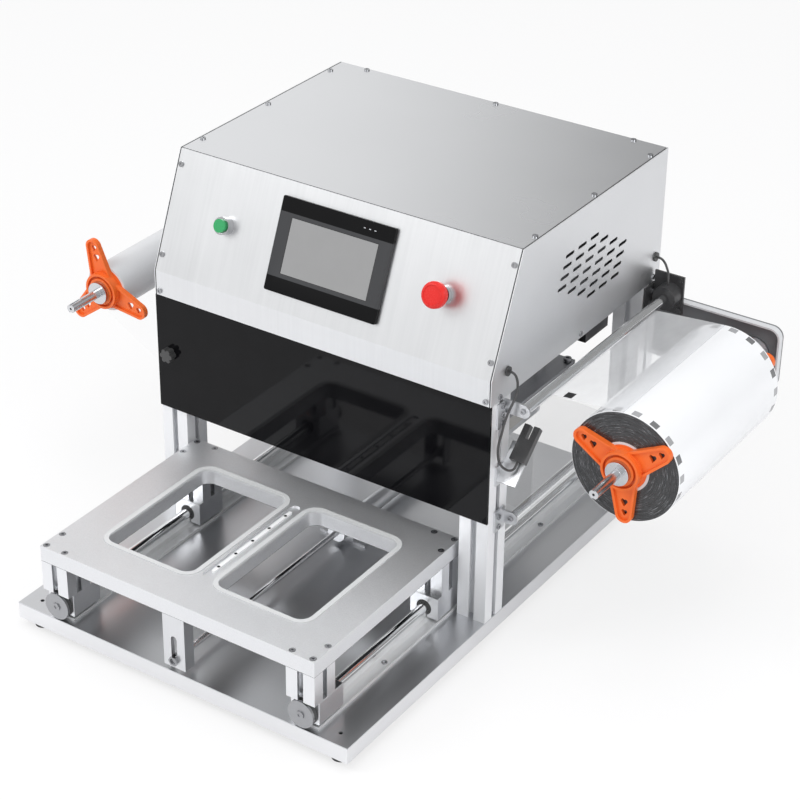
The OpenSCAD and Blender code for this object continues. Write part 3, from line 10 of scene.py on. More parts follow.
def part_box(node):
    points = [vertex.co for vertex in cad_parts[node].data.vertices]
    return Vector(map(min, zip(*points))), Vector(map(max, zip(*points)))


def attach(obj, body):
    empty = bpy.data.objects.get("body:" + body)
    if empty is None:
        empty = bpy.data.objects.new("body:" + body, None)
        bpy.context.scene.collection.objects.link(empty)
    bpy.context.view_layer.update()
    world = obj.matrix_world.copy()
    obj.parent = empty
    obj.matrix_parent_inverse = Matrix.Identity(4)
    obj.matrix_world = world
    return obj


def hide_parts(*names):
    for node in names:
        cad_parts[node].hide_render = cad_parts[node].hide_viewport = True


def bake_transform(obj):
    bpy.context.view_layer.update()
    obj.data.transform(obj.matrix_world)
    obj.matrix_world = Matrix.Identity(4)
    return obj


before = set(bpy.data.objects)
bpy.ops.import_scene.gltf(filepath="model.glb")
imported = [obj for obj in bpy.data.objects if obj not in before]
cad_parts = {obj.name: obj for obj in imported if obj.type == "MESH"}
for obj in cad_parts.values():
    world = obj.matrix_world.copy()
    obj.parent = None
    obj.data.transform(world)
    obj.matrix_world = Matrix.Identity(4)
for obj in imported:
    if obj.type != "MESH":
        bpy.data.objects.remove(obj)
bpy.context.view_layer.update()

bl_info = {
    "name": "Tray sealer",
    "version": (1, 0, 0),
    "blender": (4, 5, 0),
    "location": "3D View > Sidebar > Tray sealer",
    "description": "Dresses the packed tray sealer with its finishes, film, cables and panel details",
    "category": "Object",
}

MM = 0.001
BLACK, WHITE = (0, 0, 0), (1, 1, 1)

# Camera: its place, its angles down and round, and its focal length and middle in the picture's pixels
EYE = (1.7362, -2.4661, 2.0633)
EYE_DOWN, EYE_ROUND = 30.16, 34.97
FOCAL = 2246.28
MIDDLE_X, MIDDLE_Y = 350.56, 393.25
PICTURE = 800

# How much of the floor's look is a plain glow to the camera. The rest takes the machine's shadow
GLOW_SHARE = 0.72

# Circles that the film runs round, and the gap it keeps from the roll and the core
UP_X, UP_Z = 343 * MM, 413 * MM
TURN_R = 8.5 * MM
LOW_X = UP_X - 2 * TURN_R
LOW_Z = 218.5 * MM
ROLL_X, ROLL_Z = 487 * MM, 346 * MM
ROLL_R = 88 * MM
CORE_R = 40 * MM
FILM_GAP = 0.5 * MM

# The film rises to just under the moulds, so that it lies on the gaskets when the head is down
LIFT = 4.7 * MM
LIFT_FROM, LIFT_TO = 304 * MM, 250 * MM

# Spacing of the film's rows on its long falls, over the rise and under the moulds
FALL_STEP, RISE_STEP, FLAT_STEP = 20 * MM, 6 * MM, 8 * MM

# Dark register mark on the film's way from the roll
REGISTER_X = 377.5 * MM, 391.5 * MM
REGISTER_Y = 13 * MM, 29 * MM
REGISTER_Z = 414.5 * MM

# The film is clear on the upper roller and shows past it, with this share on its fall, a faint painted sheen,
# and this much cloud
CLEAR_TO, SHOWS_FROM = 352 * MM, 366 * MM
FALL_SHEEN, CLOUD_SHARE = 0.3, 0.25

# Wound roll: the marks near its two edges, how many, how wide and how dark
MARKS_ROUND = 18
MARKS_INSET = 2.5 * MM, 14.5 * MM
MARKS_DEPTH = 1 * MM
MARK_SHARE, MARK_INK = 0.42, 0.9

# Wound roll: depth and white rim of its end faces, height of their ridges and scale of their rings
FACE_DEPTH = 1.2 * MM
FACE_RIM = 0.6 * MM
RIDGE = 0.8 * MM
RING_SCALE, ROUND_SCALE = 900, 3.0

# Operator panel: its lean and upper edge, and the places on it, along and down the slope
SLOPE_RUN, SLOPE_RISE = 75.5 * MM, 180.5 * MM
LEAN = math.atan(SLOPE_RUN / SLOPE_RISE)
SLOPE_TOP = 648 * MM
PANEL_V = 96 * MM
STOP_U = 201 * MM
SCREEN_U = 1.8 * MM

# From the screen's middle to the case's rounded rim, the end of its grey part and the edge of the lit part
RIM_U, RIM_V = 98.5 * MM, 70.5 * MM
GREY_V = 49.5 * MM
LIT_U, LIT_V = 77.8 * MM, 42.8 * MM

# State marks: the first one's place and height above the screen's middle, their pitch and their size
STATE_U, STATE_RISE, STATE_OUT = 51 * MM, 60.5 * MM, 7.1 * MM
STATE_PITCH = 9.5 * MM
STATE_SIZE = 3.2 * MM, 1.1 * MM, 0.3 * MM

# Raised ring on the stop button: radii and heights out of the panel
STOP_RING = (14.0 * MM, 33.8 * MM), (14.3 * MM, 34.9 * MM), (15.3 * MM, 34.9 * MM), (15.7 * MM, 33.8 * MM)

# Faces that part a sheet's outside from its flanges, which take painted shade, and a carrier's front edge
# from its sheet
SIDE_FACE = 308.8 * MM
FRONT_FACE = 0.6 * MM
CARRIER_FACE = 427.5 * MM

# Pale strip of the valve block, depth of the pan's rounded fold, which takes a painted highlight, and height
# of the painted shade on the tray plate's underside
VALVE_STRIP = 416 * MM, 419.5 * MM
PAN_HIGHLIGHT_DROP = 2 * MM
PLATE_SHADE_HEIGHT = 0.5 * MM

# Spacing of the gas strip's holes, and the radius of the painted shade in and round their mouths
GAS_PITCH = 41.7 * MM
GAS_SHADE_R = 2.7 * MM


# Shared makers


def mix(a, b, share):
    """A colour between two, part by part."""
    return tuple(x + (y - x) * share for x, y in zip(a, b))


class Wire:
    """An output of a node that adds Math nodes when it is used in a sum."""

    def __init__(self, nodes, socket):
        self.nodes = nodes
        self.socket = socket

    def __add__(self, other):
        return work("ADD", self, other)

    __radd__ = __add__

    def __sub__(self, other):
        return work("SUBTRACT", self, other)

    def __rsub__(self, other):
        return work("SUBTRACT", other, self)

    def __mul__(self, other):
        return work("MULTIPLY", self, other)

    __rmul__ = __mul__

    def __truediv__(self, other):
        return work("DIVIDE", self, other)

    def __rtruediv__(self, other):
        return work("DIVIDE", other, self)

    def __gt__(self, other):
        return work("GREATER_THAN", self, other)

    def __lt__(self, other):
        return work("LESS_THAN", self, other)

    def __abs__(self):
        return work("ABSOLUTE", self)


def work(operation, *values):
    """A Math node on wires and numbers."""
    nodes = next(value.nodes for value in values if isinstance(value, Wire))
    return nodes.node("ShaderNodeMath", {"operation": operation}, dict(enumerate(values)))


def within(value, limits):
    """A mask that is 1 between two limits."""
    low, high = limits
    return (value > low) * (value < high)


class Nodes:
    """A node tree, with one way to add a node to it."""

    def __init__(self, owner):
        owner.use_nodes = True
        self.tree = owner.node_tree

    def give(self, node, values):
        for key, value in values.items():
            if isinstance(value, Wire):
                self.tree.links.new(value.socket, node.inputs[key])
            else:
                node.inputs[key].default_value = value

    def node(self, kind, settings=None, values=None, output=0):
        """A node of any kind: its settings come first, then the values or wires of its sockets."""
        node = self.tree.nodes.new(kind)
        for key, value in (settings or {}).items():
            if key == "stops":
                self.set_stops(node.color_ramp.elements, value)
            else:
                setattr(node, key, value)
        self.give(node, values or {})
        return Wire(self, node.outputs[output])

    def set_stops(self, elements, stops):
        while len(elements) < len(stops):
            elements.new(0.5)
        for element, (place, shade) in zip(elements, stops):
            element.position = place
            element.color = (*shade, 1) if isinstance(shade, tuple) else (shade, shade, shade, 1)

    def axis(self, name, space="Object"):
        """One coordinate of the shaded point."""
        spot = self.node("ShaderNodeTexCoord", output=space)
        return self.node("ShaderNodeSeparateXYZ", {}, {"Vector": spot}, output=name)

    def ramp(self, share, *stops):
        return self.node("ShaderNodeValToRGB", {"stops": stops}, {"Fac": share})

    def colours(self, share, first, second, blend="MIX"):
        """A colour between two, each a colour or a wire."""
        first, second = ((*c, 1) if isinstance(c, tuple) else c for c in (first, second))
        return self.node("ShaderNodeMix", {"data_type": "RGBA", "blend_type": blend},
                         {"Factor": share, 6: first, 7: second}, output=2)


class Finish(Nodes):
    """A material, and the nodes that vary it over a surface."""

    def __init__(self, name, roughness, metallic=0.0, **steady):
        self.material = bpy.data.materials.new(name)
        super().__init__(self.material)
        self.shader = self.tree.nodes["Principled BSDF"]
        self.feed("Roughness", roughness)
        self.feed("Metallic", metallic)
        for key, value in steady.items():
            self.feed(key.replace("_", " ").title().replace("Ior", "IOR"), value)

    def feed(self, socket, value):
        """Gives one of the shader's sockets its value or wire."""
        self.give(self.shader, {socket: value})

    def noise(self, scale, detail=2.0, roughness=0.5):
        """Noise that follows the object, stretched by the scale along each axis."""
        spot = self.node("ShaderNodeTexCoord", output="Object")
        return self.noise_at(self.node("ShaderNodeMapping", {}, {"Vector": spot, "Scale": scale}), detail,
                             roughness)

    def noise_at(self, spot, detail, roughness):
        return self.node("ShaderNodeTexNoise", {}, {
            "Vector": spot, "Scale": 1.0, "Detail": detail, "Roughness": roughness})

    def colour(self, value):
        self.feed("Base Color", (*value, 1) if isinstance(value, tuple) else value)

    def over(self, mask, value):
        """Lays a colour over the finish where the mask is 1."""
        under = Wire(self, self.shader.inputs["Base Color"].links[0].from_socket)
        self.colour(self.colours(mask, under, value))

    def bump(self, height, depth):
        self.feed("Normal", self.node("ShaderNodeBump", {}, {"Height": height, "Distance": depth}))


def metal(name, colour, roughness, grain, streak=0.06, blotch=0.05, depth=0.02 * MM, bare=1.0):
    """Bare or brushed metal: fine lines along one way, a soft cloud of tone and an uneven shine."""
    line_shine, cloud_shine = 0.10, 0.05
    finish = Finish(name, roughness, bare)
    lines = finish.noise(grain, 3.0, 0.6)
    cloud = finish.noise((9, 9, 9))
    tone = lines * streak + cloud * blotch
    spread = streak + blotch
    finish.colour(finish.colours(tone / spread, mix(colour, BLACK, spread), mix(colour, WHITE, spread)))
    base = roughness - (line_shine + cloud_shine) / 2
    finish.feed("Roughness", lines * line_shine + cloud * cloud_shine + base)
    finish.bump(lines, depth)
    return finish


def moulded(name, colour, roughness, grain=900, depth=0.03 * MM, tone=0.12, **steady):
    """Plastic, rubber or powder coat: fine grain in its relief and shine, with faint cloudy tone."""
    fine_shine, cloud_shine = 0.16, 0.12
    finish = Finish(name, roughness, **steady)
    fine = finish.noise((grain, grain, grain), 2.0, 0.6)
    cloud = finish.noise((14, 14, 14), 3.0)
    finish.colour(finish.colours(fine * 0.5 + cloud * 0.5, mix(colour, BLACK, tone),
                                 mix(colour, WHITE, tone / 2)))
    base = roughness - (fine_shine + cloud_shine) / 2
    finish.feed("Roughness", fine * fine_shine + cloud * cloud_shine + base)
    finish.bump(fine, depth)
    return finish


def paint(finish, *nodes):
    """Gives a finish to CAD nodes that keep their own shape."""
    for name in nodes:
        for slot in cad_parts[name].material_slots:
            slot.material = finish.material


def blank(name):
    """A new mesh object, and the bmesh that shapes it."""
    thing = bpy.data.objects.new(name, bpy.data.meshes.new(name))
    bpy.context.scene.collection.objects.link(thing)
    return thing, bmesh.new()


def finish_mesh(thing, bm, finish, body=None, smooth=35.0, replaces=()):
    """Writes the shape into the object, shades it, and hands it to its body."""
    bmesh.ops.recalc_face_normals(bm, faces=bm.faces)
    bm.to_mesh(thing.data)
    bm.free()
    for polygon in thing.data.polygons:
        polygon.use_smooth = True
    thing.data.set_sharp_from_angle(angle=math.radians(smooth))
    thing.data.materials.append(finish.material)
    if body:
        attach(thing, body)
    if replaces:
        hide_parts(*replaces)


def spin(bm, profile, centre, axis, steps):
    """A turned shape: the profile's points are joined and spun all the way round."""
    verts = [bm.verts.new(point) for point in profile]
    edges = [bm.edges.new(pair) for pair in zip(verts, verts[1:])]
    bmesh.ops.spin(bm, geom=verts + edges, cent=centre, axis=axis, dvec=(0, 0, 0), angle=math.tau,
                   steps=steps, use_merge=True)
    bmesh.ops.remove_doubles(bm, verts=bm.verts, dist=0.001 * MM)


def slope_matrix(u, v):
    """The place u across and v down the operator panel, with its own z standing straight out of it."""
    across = Vector((1, 0, 0))
    out = Vector((0, -math.cos(LEAN), math.sin(LEAN)))
    turn = Matrix((across, out.cross(across), out)).transposed().to_4x4()
    return Matrix.Translation((u, -v * math.sin(LEAN), SLOPE_TOP - v * math.cos(LEAN))) @ turn


def dressed(name, node, body, finish, edge, angle):
    """A copy of a CAD node with its loose triangles merged and its sharp edges rounded off."""
    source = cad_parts[node]
    thing, bm = blank(name)
    bm.from_mesh(source.data)
    bmesh.ops.transform(bm, matrix=source.matrix_world, verts=bm.verts)
    bmesh.ops.remove_doubles(bm, verts=bm.verts, dist=0.002 * MM)
    bmesh.ops.dissolve_limit(bm, angle_limit=math.radians(0.5), verts=bm.verts, edges=bm.edges)
    sharp = [e for e in bm.edges if len(e.link_faces) == 2 and e.calc_face_angle() > math.radians(angle)]
    bmesh.ops.bevel(bm, geom=sharp, offset=edge, offset_type="OFFSET", segments=2, profile=0.5,
                    affect="EDGES", material=-1, clamp_overlap=True)
    finish_mesh(thing, bm, finish, body, 16.0, (node,))


# Sizes and colours that a user would change


class SealerSettings(bpy.types.PropertyGroup):
    """Sizes and colours of the tray sealer's dressing."""

    cable_size: FloatProperty(name="Cable diameter", description="Diameter of the two sensor cables",
                              default=3.8 * MM, unit="LENGTH")
    film_opacity: FloatProperty(name="Film opacity", description="How much of the unwinding film shows",
                                default=0.38, min=0.0, max=1.0, subtype="FACTOR")
    wound_layers: IntProperty(name="Wound layers", description="Ridges on the end of the film roll",
                              default=26, min=4, max=80)
    sheet: FloatVectorProperty(name="Sheet colour", description="Colour of the housing's sheet",
                               default=(0.80, 0.81, 0.825), subtype="COLOR", min=0, max=1)
    chuck: FloatVectorProperty(name="Chuck colour", description="Colour of the roll chucks",
                               default=(0.84, 0.135, 0.004), subtype="COLOR", min=0, max=1)
    stop: FloatVectorProperty(name="Stop button colour", description="Colour of the stop button",
                              default=(0.66, 0.012, 0.008), subtype="COLOR", min=0, max=1)
    start: FloatVectorProperty(name="Start button colour", description="Colour of the start button",
                               default=(0.004, 0.30, 0.085), subtype="COLOR", min=0, max=1)
    backdrop: FloatProperty(name="Backdrop", description="Whiteness of the floor as the camera sees it",
                            default=1.0, min=0.0, max=1.0, subtype="FACTOR")
    lamp: FloatProperty(name="Lamp power", description="Power of the large soft lamp", default=34.0,
                        unit="POWER")


def settings():
    return bpy.context.scene.sealer


def tint(name):
    """One of the colours in the settings."""
    return tuple(getattr(settings(), name))


# Stage


class SEALER_OT_stage(bpy.types.Operator):
    """Camera, floor, backdrop and soft lamps"""

    bl_idname = "sealer.stage"
    bl_label = "Stage"

    def execute(self, context):
        scene = context.scene
        scene.view_settings.view_transform = "Standard"
        self.camera(scene)
        self.floor()
        self.world(scene)
        self.lamps(scene)
        return {"FINISHED"}

    def camera(self, scene):
        lens = bpy.data.cameras.new("camera")
        lens.sensor_width = 36.0
        lens.lens = FOCAL * lens.sensor_width / PICTURE
        lens.shift_x = (PICTURE / 2 - MIDDLE_X) / PICTURE
        lens.shift_y = (MIDDLE_Y - PICTURE / 2) / PICTURE
        lens.clip_start = 0.05
        eye = bpy.data.objects.new("camera", lens)
        eye.location = EYE
        eye.rotation_euler = (math.radians(90 - EYE_DOWN), 0, math.radians(EYE_ROUND))
        scene.collection.objects.link(eye)
        scene.camera = eye

    def floor(self):
        """A pale floor that looks mostly white to the camera and keeps the machine's soft shadow."""
        thing, bm = blank("floor")
        bmesh.ops.create_grid(bm, x_segments=1, y_segments=1, size=40.0)
        finish = Finish("studio_floor", 0.7)
        finish.colour((0.86, 0.86, 0.87))
        seen = finish.node("ShaderNodeLightPath", output="Is Camera Ray")
        glow = finish.node("ShaderNodeEmission", {}, {"Color": (*WHITE, 1), "Strength": settings().backdrop})
        plain = Wire(finish, finish.shader.outputs["BSDF"])
        both = finish.node("ShaderNodeMixShader", {}, {0: seen * GLOW_SHARE, 1: plain, 2: glow})
        finish.give(finish.tree.nodes["Material Output"], {"Surface": both})
        finish_mesh(thing, bm, finish)

    def world(self, scene):
        """White to the camera. Reflections see it bright above, and dark behind but for the far left."""
        world = bpy.data.worlds.new("studio")
        scene.world = world
        sky = Nodes(world)
        across, away, height = (sky.axis(name, "Generated") * 0.5 + 0.5 for name in "XYZ")
        band = sky.ramp(height, (0.30, 0.32), (0.50, 0.72), (0.60, 1.0), (0.80, 1.0))
        shade = sky.ramp(across, (0.16, 1.0), (0.242, 1.0), (0.305, 0.28), (0.42, 0.34))
        behind = sky.ramp(away, (0.60, 0.0), (0.78, 1.0))
        studio = sky.colours(behind, band, shade, "MULTIPLY")
        seen = sky.node("ShaderNodeLightPath", output="Is Camera Ray")
        sky.give(sky.tree.nodes["Background"], {"Color": sky.colours(seen, studio, WHITE), "Strength": 1.0})

    def lamps(self, scene):
        for name, place, aim, size, share in (
                ("lamp_key", (-1.6, -1.9, 2.6), (0, 0, 0.3), 1.6, 1.0),
                ("lamp_side", (2.6, -0.6, 1.9), (0.2, 0, 0.3), 1.4, 0.55),
                ("lamp_top", (0.2, 0.5, 3.2), (0, 0.1, 0.4), 1.8, 0.45)):
            light = bpy.data.lights.new(name, "AREA")
            light.shape = "DISK"
            light.size = size
            light.energy = settings().lamp * share
            lamp = bpy.data.objects.new(name, light)
            lamp.location = place
            lamp.rotation_euler = (Vector(aim) - Vector(place)).to_track_quat("-Z", "Y").to_euler()
            scene.collection.objects.link(lamp)


# Cables: points of their routes in mm

SENSOR_ROUTE = ((313, -33, 467), (318, -33, 467), (322, -31, 463), (324, -29, 456), (325, -28, 448),
                (326, -30, 439), (327, -35, 431), (328, -42, 427), (328, -49, 421), (326, -54, 411),
                (323, -57, 397), (321, -61, 379), (319, -65, 361), (319, -66, 344), (321, -63, 329),
                (325, -56, 318), (330, -49, 313), (334, -44, 314.5), (334.5, -40, 317.5), (334.5, -35, 322))
ENCODER_ROUTE = ((313, 413, 467), (319, 413, 467), (327, 411, 464), (335, 407, 456), (341, 402, 448),
                 (343, 398, 440), (343, 398, 433))


class SEALER_OT_cables(bpy.types.Operator):
    """The sensor cable and the encoder cable, from their grommets to their plugs"""

    bl_idname = "sealer.cables"
    bl_label = "Cables"

    def execute(self, context):
        sheath = moulded("cable_sheath", (0.025, 0.025, 0.027), 0.42, 700)
        for name, node, route in (("sensor_lead", "sensor_cable", SENSOR_ROUTE),
                                  ("encoder_lead", "encoder_cable", ENCODER_ROUTE)):
            self.lead(name, node, [Vector(p) * MM for p in route], sheath)
        return {"FINISHED"}

    def lead(self, name, node, route, sheath):
        curve = bpy.data.curves.new(name, "CURVE")
        curve.dimensions = "3D"
        curve.bevel_depth = settings().cable_size / 2
        curve.bevel_resolution = 3
        curve.resolution_u = 4
        curve.use_fill_caps = True
        spline = curve.splines.new("BEZIER")
        spline.bezier_points.add(len(route) - 1)
        for point, spot in zip(spline.bezier_points, route):
            point.co = spot
            point.handle_left_type = point.handle_right_type = "AUTO"
        curve.materials.append(sheath.material)
        thing = bpy.data.objects.new(name, curve)
        bpy.context.scene.collection.objects.link(thing)
        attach(thing, "machine_frame")
        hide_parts(node)


# Base and rails


class SEALER_OT_base(bpy.types.Operator):
    """Base pan, feet, rail supports, rods and end stops"""

    bl_idname = "sealer.base"
    bl_label = "Base and rails"

    def execute(self, context):
        self.pan()
        paint(moulded("foot_rubber", (0.018, 0.018, 0.019), 0.55, 500, 0.06 * MM), "base_feet")
        paint(metal("rail_extrusion", (0.84, 0.85, 0.86), 0.40, (1400, 14, 1400), 0.04, 0.03,
                    depth=0.003 * MM, bare=0.6), "rail_supports")
        chrome = metal("hard_chrome_rod", (0.80, 0.81, 0.82), 0.12, (6, 40, 6), 0.02, 0.02,
                       depth=0.0004 * MM)
        dressed("rail_bars", "rail_rods", "machine_frame", chrome, 0.4 * MM, 50.0)
        paint(metal("turned_disc", (0.34, 0.345, 0.36), 0.36, (700, 40, 700), 0.08), "rail_stops")
        paint(moulded("bumper_rubber", (0.02, 0.02, 0.021), 0.6, 500, 0.06 * MM), "rail_bumpers")
        return {"FINISHED"}

    def pan(self):
        """Brushed sheet. Its folded edges are paler and less metallic: a painted highlight for the bright
        line along the pan's edge.
        """
        finish = metal("brushed_pan", (0.64, 0.65, 0.67), 0.32, (1400, 14, 1400), 0.04, 0.03,
                       depth=0.003 * MM)
        pan_edge_highlight = finish.axis("Z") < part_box("base_pan")[1].z - PAN_HIGHLIGHT_DROP
        finish.over(pan_edge_highlight, (0.76, 0.765, 0.78))
        finish.feed("Metallic", 1.0 - pan_edge_highlight * 0.5)
        paint(finish, "base_pan")


# Posts and inner machine


class SEALER_OT_structure(bpy.types.Operator):
    """Posts, head beam, cylinders, valves and modules under and inside the housing"""

    bl_idname = "sealer.structure"
    bl_label = "Posts and inner machine"

    def execute(self, context):
        paint(metal("anodised_profile", (0.88, 0.89, 0.91), 0.42, (700, 700, 7), 0.05, bare=0.5),
              "main_posts")
        paint(metal("milled_plate", (0.52, 0.53, 0.55), 0.40, (12, 420, 12), 0.08), "head_beam")
        paint(metal("bush_bronze", (0.62, 0.43, 0.20), 0.34, (300, 300, 900), 0.08), "guide_bushes")
        paint(metal("cylinder_profile", (0.68, 0.69, 0.72), 0.36, (500, 500, 10)), "press_cylinder")
        paint(metal("cylinder_tube", (0.74, 0.75, 0.77), 0.30, (500, 10, 500)), "drawer_cylinder")
        paint(moulded("module_grey", (0.20, 0.21, 0.22), 0.5), "control_modules")
        paint(moulded("fitting_black", (0.017, 0.017, 0.018), 0.42), "panel_fittings")
        self.valves()
        return {"FINISHED"}

    def valves(self):
        """Black block with a grey strip along it."""
        finish = moulded("valve_black", (0.016, 0.016, 0.018), 0.34)
        strip = within(finish.axis("Z"), VALVE_STRIP)
        finish.colour(finish.colours(strip, (0.016, 0.016, 0.018), (0.20, 0.21, 0.22)))
        paint(finish, "valve_manifold")


# Housing


class SEALER_OT_housing(bpy.types.Operator):
    """Sheet panels, their screws and the black front guard with its knob"""

    bl_idname = "sealer.housing"
    bl_label = "Housing"

    def execute(self, context):
        sheet = tint("sheet")
        # Painted shade: the top sheet is a darker copy of the same sheet colour, for the grey reflection
        # across the top
        top = mix(sheet, (0.62, 0.63, 0.66), 0.2)
        paint(metal("top_sheet", top, 0.26, (4, 4, 4), 0.02, 0.03, depth=0.006 * MM), "top_panel")
        self.sheets(sheet)
        paint(metal("rear_sheet", sheet, 0.38, (190, 190, 5)), "rear_panel")
        paint(metal("screw_chrome", (0.34, 0.345, 0.36), 0.16, (700, 700, 700), 0.05, 0.08), "frame_screws")
        self.guard()
        return {"FINISHED"}

    def sheets(self, sheet):
        """Satin side sheets and the brushed front sheet. The front sheet's colour is the sheet darkened a
        little as painted shade, and the flanges of both take painted shade.
        """
        side = metal("side_sheet", sheet, 0.42, (420, 420, 420), 0.05)
        self.paint_seam_shade(side, abs(side.axis("X")) < SIDE_FACE)
        paint(side, "side_panels")
        # Painted shade: the front sheet is a slightly darker copy of the same sheet colour
        front = metal("front_sheet", mix(sheet, BLACK, 0.08), 0.34, (190, 5, 5), 0.07)
        self.paint_seam_shade(front, front.axis("Y") > FRONT_FACE)
        paint(front, "front_panel")

    def paint_seam_shade(self, finish, flange):
        """Paints the folded flanges near-black and not metallic: painted shade for the shadow behind the
        narrow seams.
        """
        finish.over(flange, (0.03, 0.031, 0.033))
        finish.feed("Metallic", 1.0 - flange)

    def guard(self):
        finish = Finish("gloss_acrylic", 0.04, specular_ior_level=0.14)
        cloud = finish.noise((30, 30, 30), 3.0)
        finish.colour(finish.colours(cloud, (0.002, 0.002, 0.0025), (0.005, 0.005, 0.006)))
        finish.feed("Roughness", finish.noise((60, 8, 60), 4.0, 0.7) * 0.06 + 0.02)
        paint(finish, "guard_panel")
        paint(moulded("knob_black", (0.016, 0.016, 0.017), 0.36, 700, 0.05 * MM), "guard_knob")


# Operator panel


def from_screen(finish):
    """Distances from the screen's middle, across the operator panel and along its slope."""
    down = finish.axis("Y") * -math.sin(LEAN) - (finish.axis("Z") - SLOPE_TOP) * math.cos(LEAN)
    return abs(finish.axis("X") - SCREEN_U), abs(down - PANEL_V)


class SEALER_OT_panel_controls(bpy.types.Operator):
    """Touch screen, start button, stop button and their rings"""

    bl_idname = "sealer.panel_controls"
    bl_label = "Operator panel"

    def execute(self, context):
        self.case()
        self.marks()
        self.screen()
        paint(metal("ring_chrome", (0.46, 0.465, 0.48), 0.14, (700, 700, 700), 0.03), "button_rings")
        paint(moulded("start_green", tint("start"), 0.30, 600, 0.01 * MM, 0.05, coat_weight=0.2), "start_cap")
        paint(moulded("stem_grey", (0.12, 0.12, 0.125), 0.4), "stop_stem")
        red = moulded("stop_red", tint("stop"), 0.26, 600, 0.01 * MM, 0.05, specular_ior_level=0.25)
        dressed("stop_mushroom_cap", "stop_head", "stop_mushroom", red, 0.8 * MM, 30.0)
        self.ring(red)
        return {"FINISHED"}

    def case(self):
        """Black case with a grey middle and a rounded rim."""
        finish = moulded("bezel_plastic", (0.030, 0.030, 0.033), 0.34, 800, 0.02 * MM,
                         specular_ior_level=0.1)
        across, up = from_screen(finish)
        finish.colour(finish.colours(up < GREY_V, (0.004, 0.004, 0.0045), (0.052, 0.053, 0.056)))
        finish.bump((across > RIM_U) + (up > RIM_V), -0.6 * MM)
        dressed("screen_case", "hmi_case", "machine_frame", finish, 0.8 * MM, 50.0)

    def marks(self):
        """Three small state lamps in the upper right band of the case."""
        thing, bm = blank("state_marks")
        for k in range(3):
            spot = slope_matrix(STATE_U + STATE_PITCH * k, PANEL_V - STATE_RISE)
            spot = spot @ Matrix.Translation((0, 0, STATE_OUT))
            bmesh.ops.create_cube(bm, size=1.0, matrix=spot @ Matrix.Diagonal((*STATE_SIZE, 1)))
        lamp = moulded("state_mark", (0.55, 0.57, 0.60), 0.4, depth=0.01 * MM, tone=0.04)
        finish_mesh(thing, bm, lamp, "machine_frame")

    def screen(self):
        """Glass with a dark border round the grey picture."""
        finish = Finish("display_glass", 0.12, coat_weight=0.5, coat_roughness=0.03)
        across, up = from_screen(finish)
        glow = finish.colours(finish.noise((16, 16, 16), 3.0), (0.235, 0.236, 0.238), (0.275, 0.276, 0.278))
        border = (across > LIT_U) + (up > LIT_V)
        finish.colour(finish.colours(border, glow, (0.012, 0.012, 0.013)))
        paint(finish, "hmi_screen")

    def ring(self, red):
        """The slightly raised ring on the face of the stop button."""
        thing, bm = blank("stop_face_ring")
        place = slope_matrix(STOP_U, PANEL_V)
        points = [place @ Vector((radius, 0, height)) for radius, height in (*STOP_RING, STOP_RING[0])]
        spin(bm, points, place.translation, place.col[2].xyz, 72)
        finish_mesh(thing, bm, red, "stop_mushroom", 40.0)


# Drawer


class SEALER_OT_drawer(bpy.types.Operator):
    """Tray plate, gaskets, gas strip, posts, blocks and bracket of the drawer"""

    bl_idname = "sealer.drawer"
    bl_label = "Drawer"

    def execute(self, context):
        self.plate()
        paint(metal("bright_profile", (0.80, 0.81, 0.83), 0.30, (600, 600, 9), 0.05), "carriage_posts")
        block = metal("bright_block", (0.80, 0.81, 0.83), 0.30, (9, 600, 600))
        dressed("rail_carriages", "bearing_blocks", "drawer", block, 0.6 * MM, 50.0)
        paint(moulded("seal_rubber", (0.020, 0.020, 0.021), 0.55, 500), "block_seals")
        paint(moulded("gasket_silicone", (0.62, 0.63, 0.64), 0.34, 300), "pocket_gaskets")
        self.strip()
        paint(metal("bolt_steel", (0.26, 0.265, 0.28), 0.24, (500, 500, 500), 0.10, 0.10), "carriage_screws")
        paint(metal("bracket_sheet", (0.70, 0.71, 0.73), 0.30, (400, 400, 8), 0.07), "drive_bracket")
        chrome = metal("chromed_rod", (0.80, 0.80, 0.82), 0.14, (6, 40, 6), 0.02, 0.02, depth=0.0004 * MM)
        dressed("drawer_ram", "drawer_rod", "drawer", chrome, 0.3 * MM, 50.0)
        return {"FINISHED"}

    def plate(self):
        """Blasted plate, with painted shade on its underside and along its lower edge."""
        finish = metal("blasted_plate", (0.82, 0.83, 0.85), 0.50, (520, 520, 520), 0.14, 0.03,
                       depth=0.3 * MM)
        # Painted shade: the underside and the lowest strip of the sides are dark, for the shadow under the
        # plate
        finish.over(finish.axis("Z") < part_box("tray_plate")[0].z + PLATE_SHADE_HEIGHT, (0.05, 0.05, 0.055))
        dressed("drawer_plate", "tray_plate", "drawer", finish, 0.7 * MM, 50.0)

    def strip(self):
        """White strip with painted shade in and round the mouths of its gas holes."""
        low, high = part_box("gas_strip")
        finish = moulded("strip_white", (0.84, 0.85, 0.86), 0.36, 600, 0.01 * MM, 0.04)
        place = (finish.axis("Y") - (low.y + high.y) / 2) * (1 / GAS_PITCH) + 0.5
        along = (work("FRACT", place) - 0.5) * GAS_PITCH
        across = finish.axis("X")
        finish.over((along * along + across * across) < GAS_SHADE_R ** 2, (0.03, 0.03, 0.032))
        paint(finish, "gas_strip")


# Press head


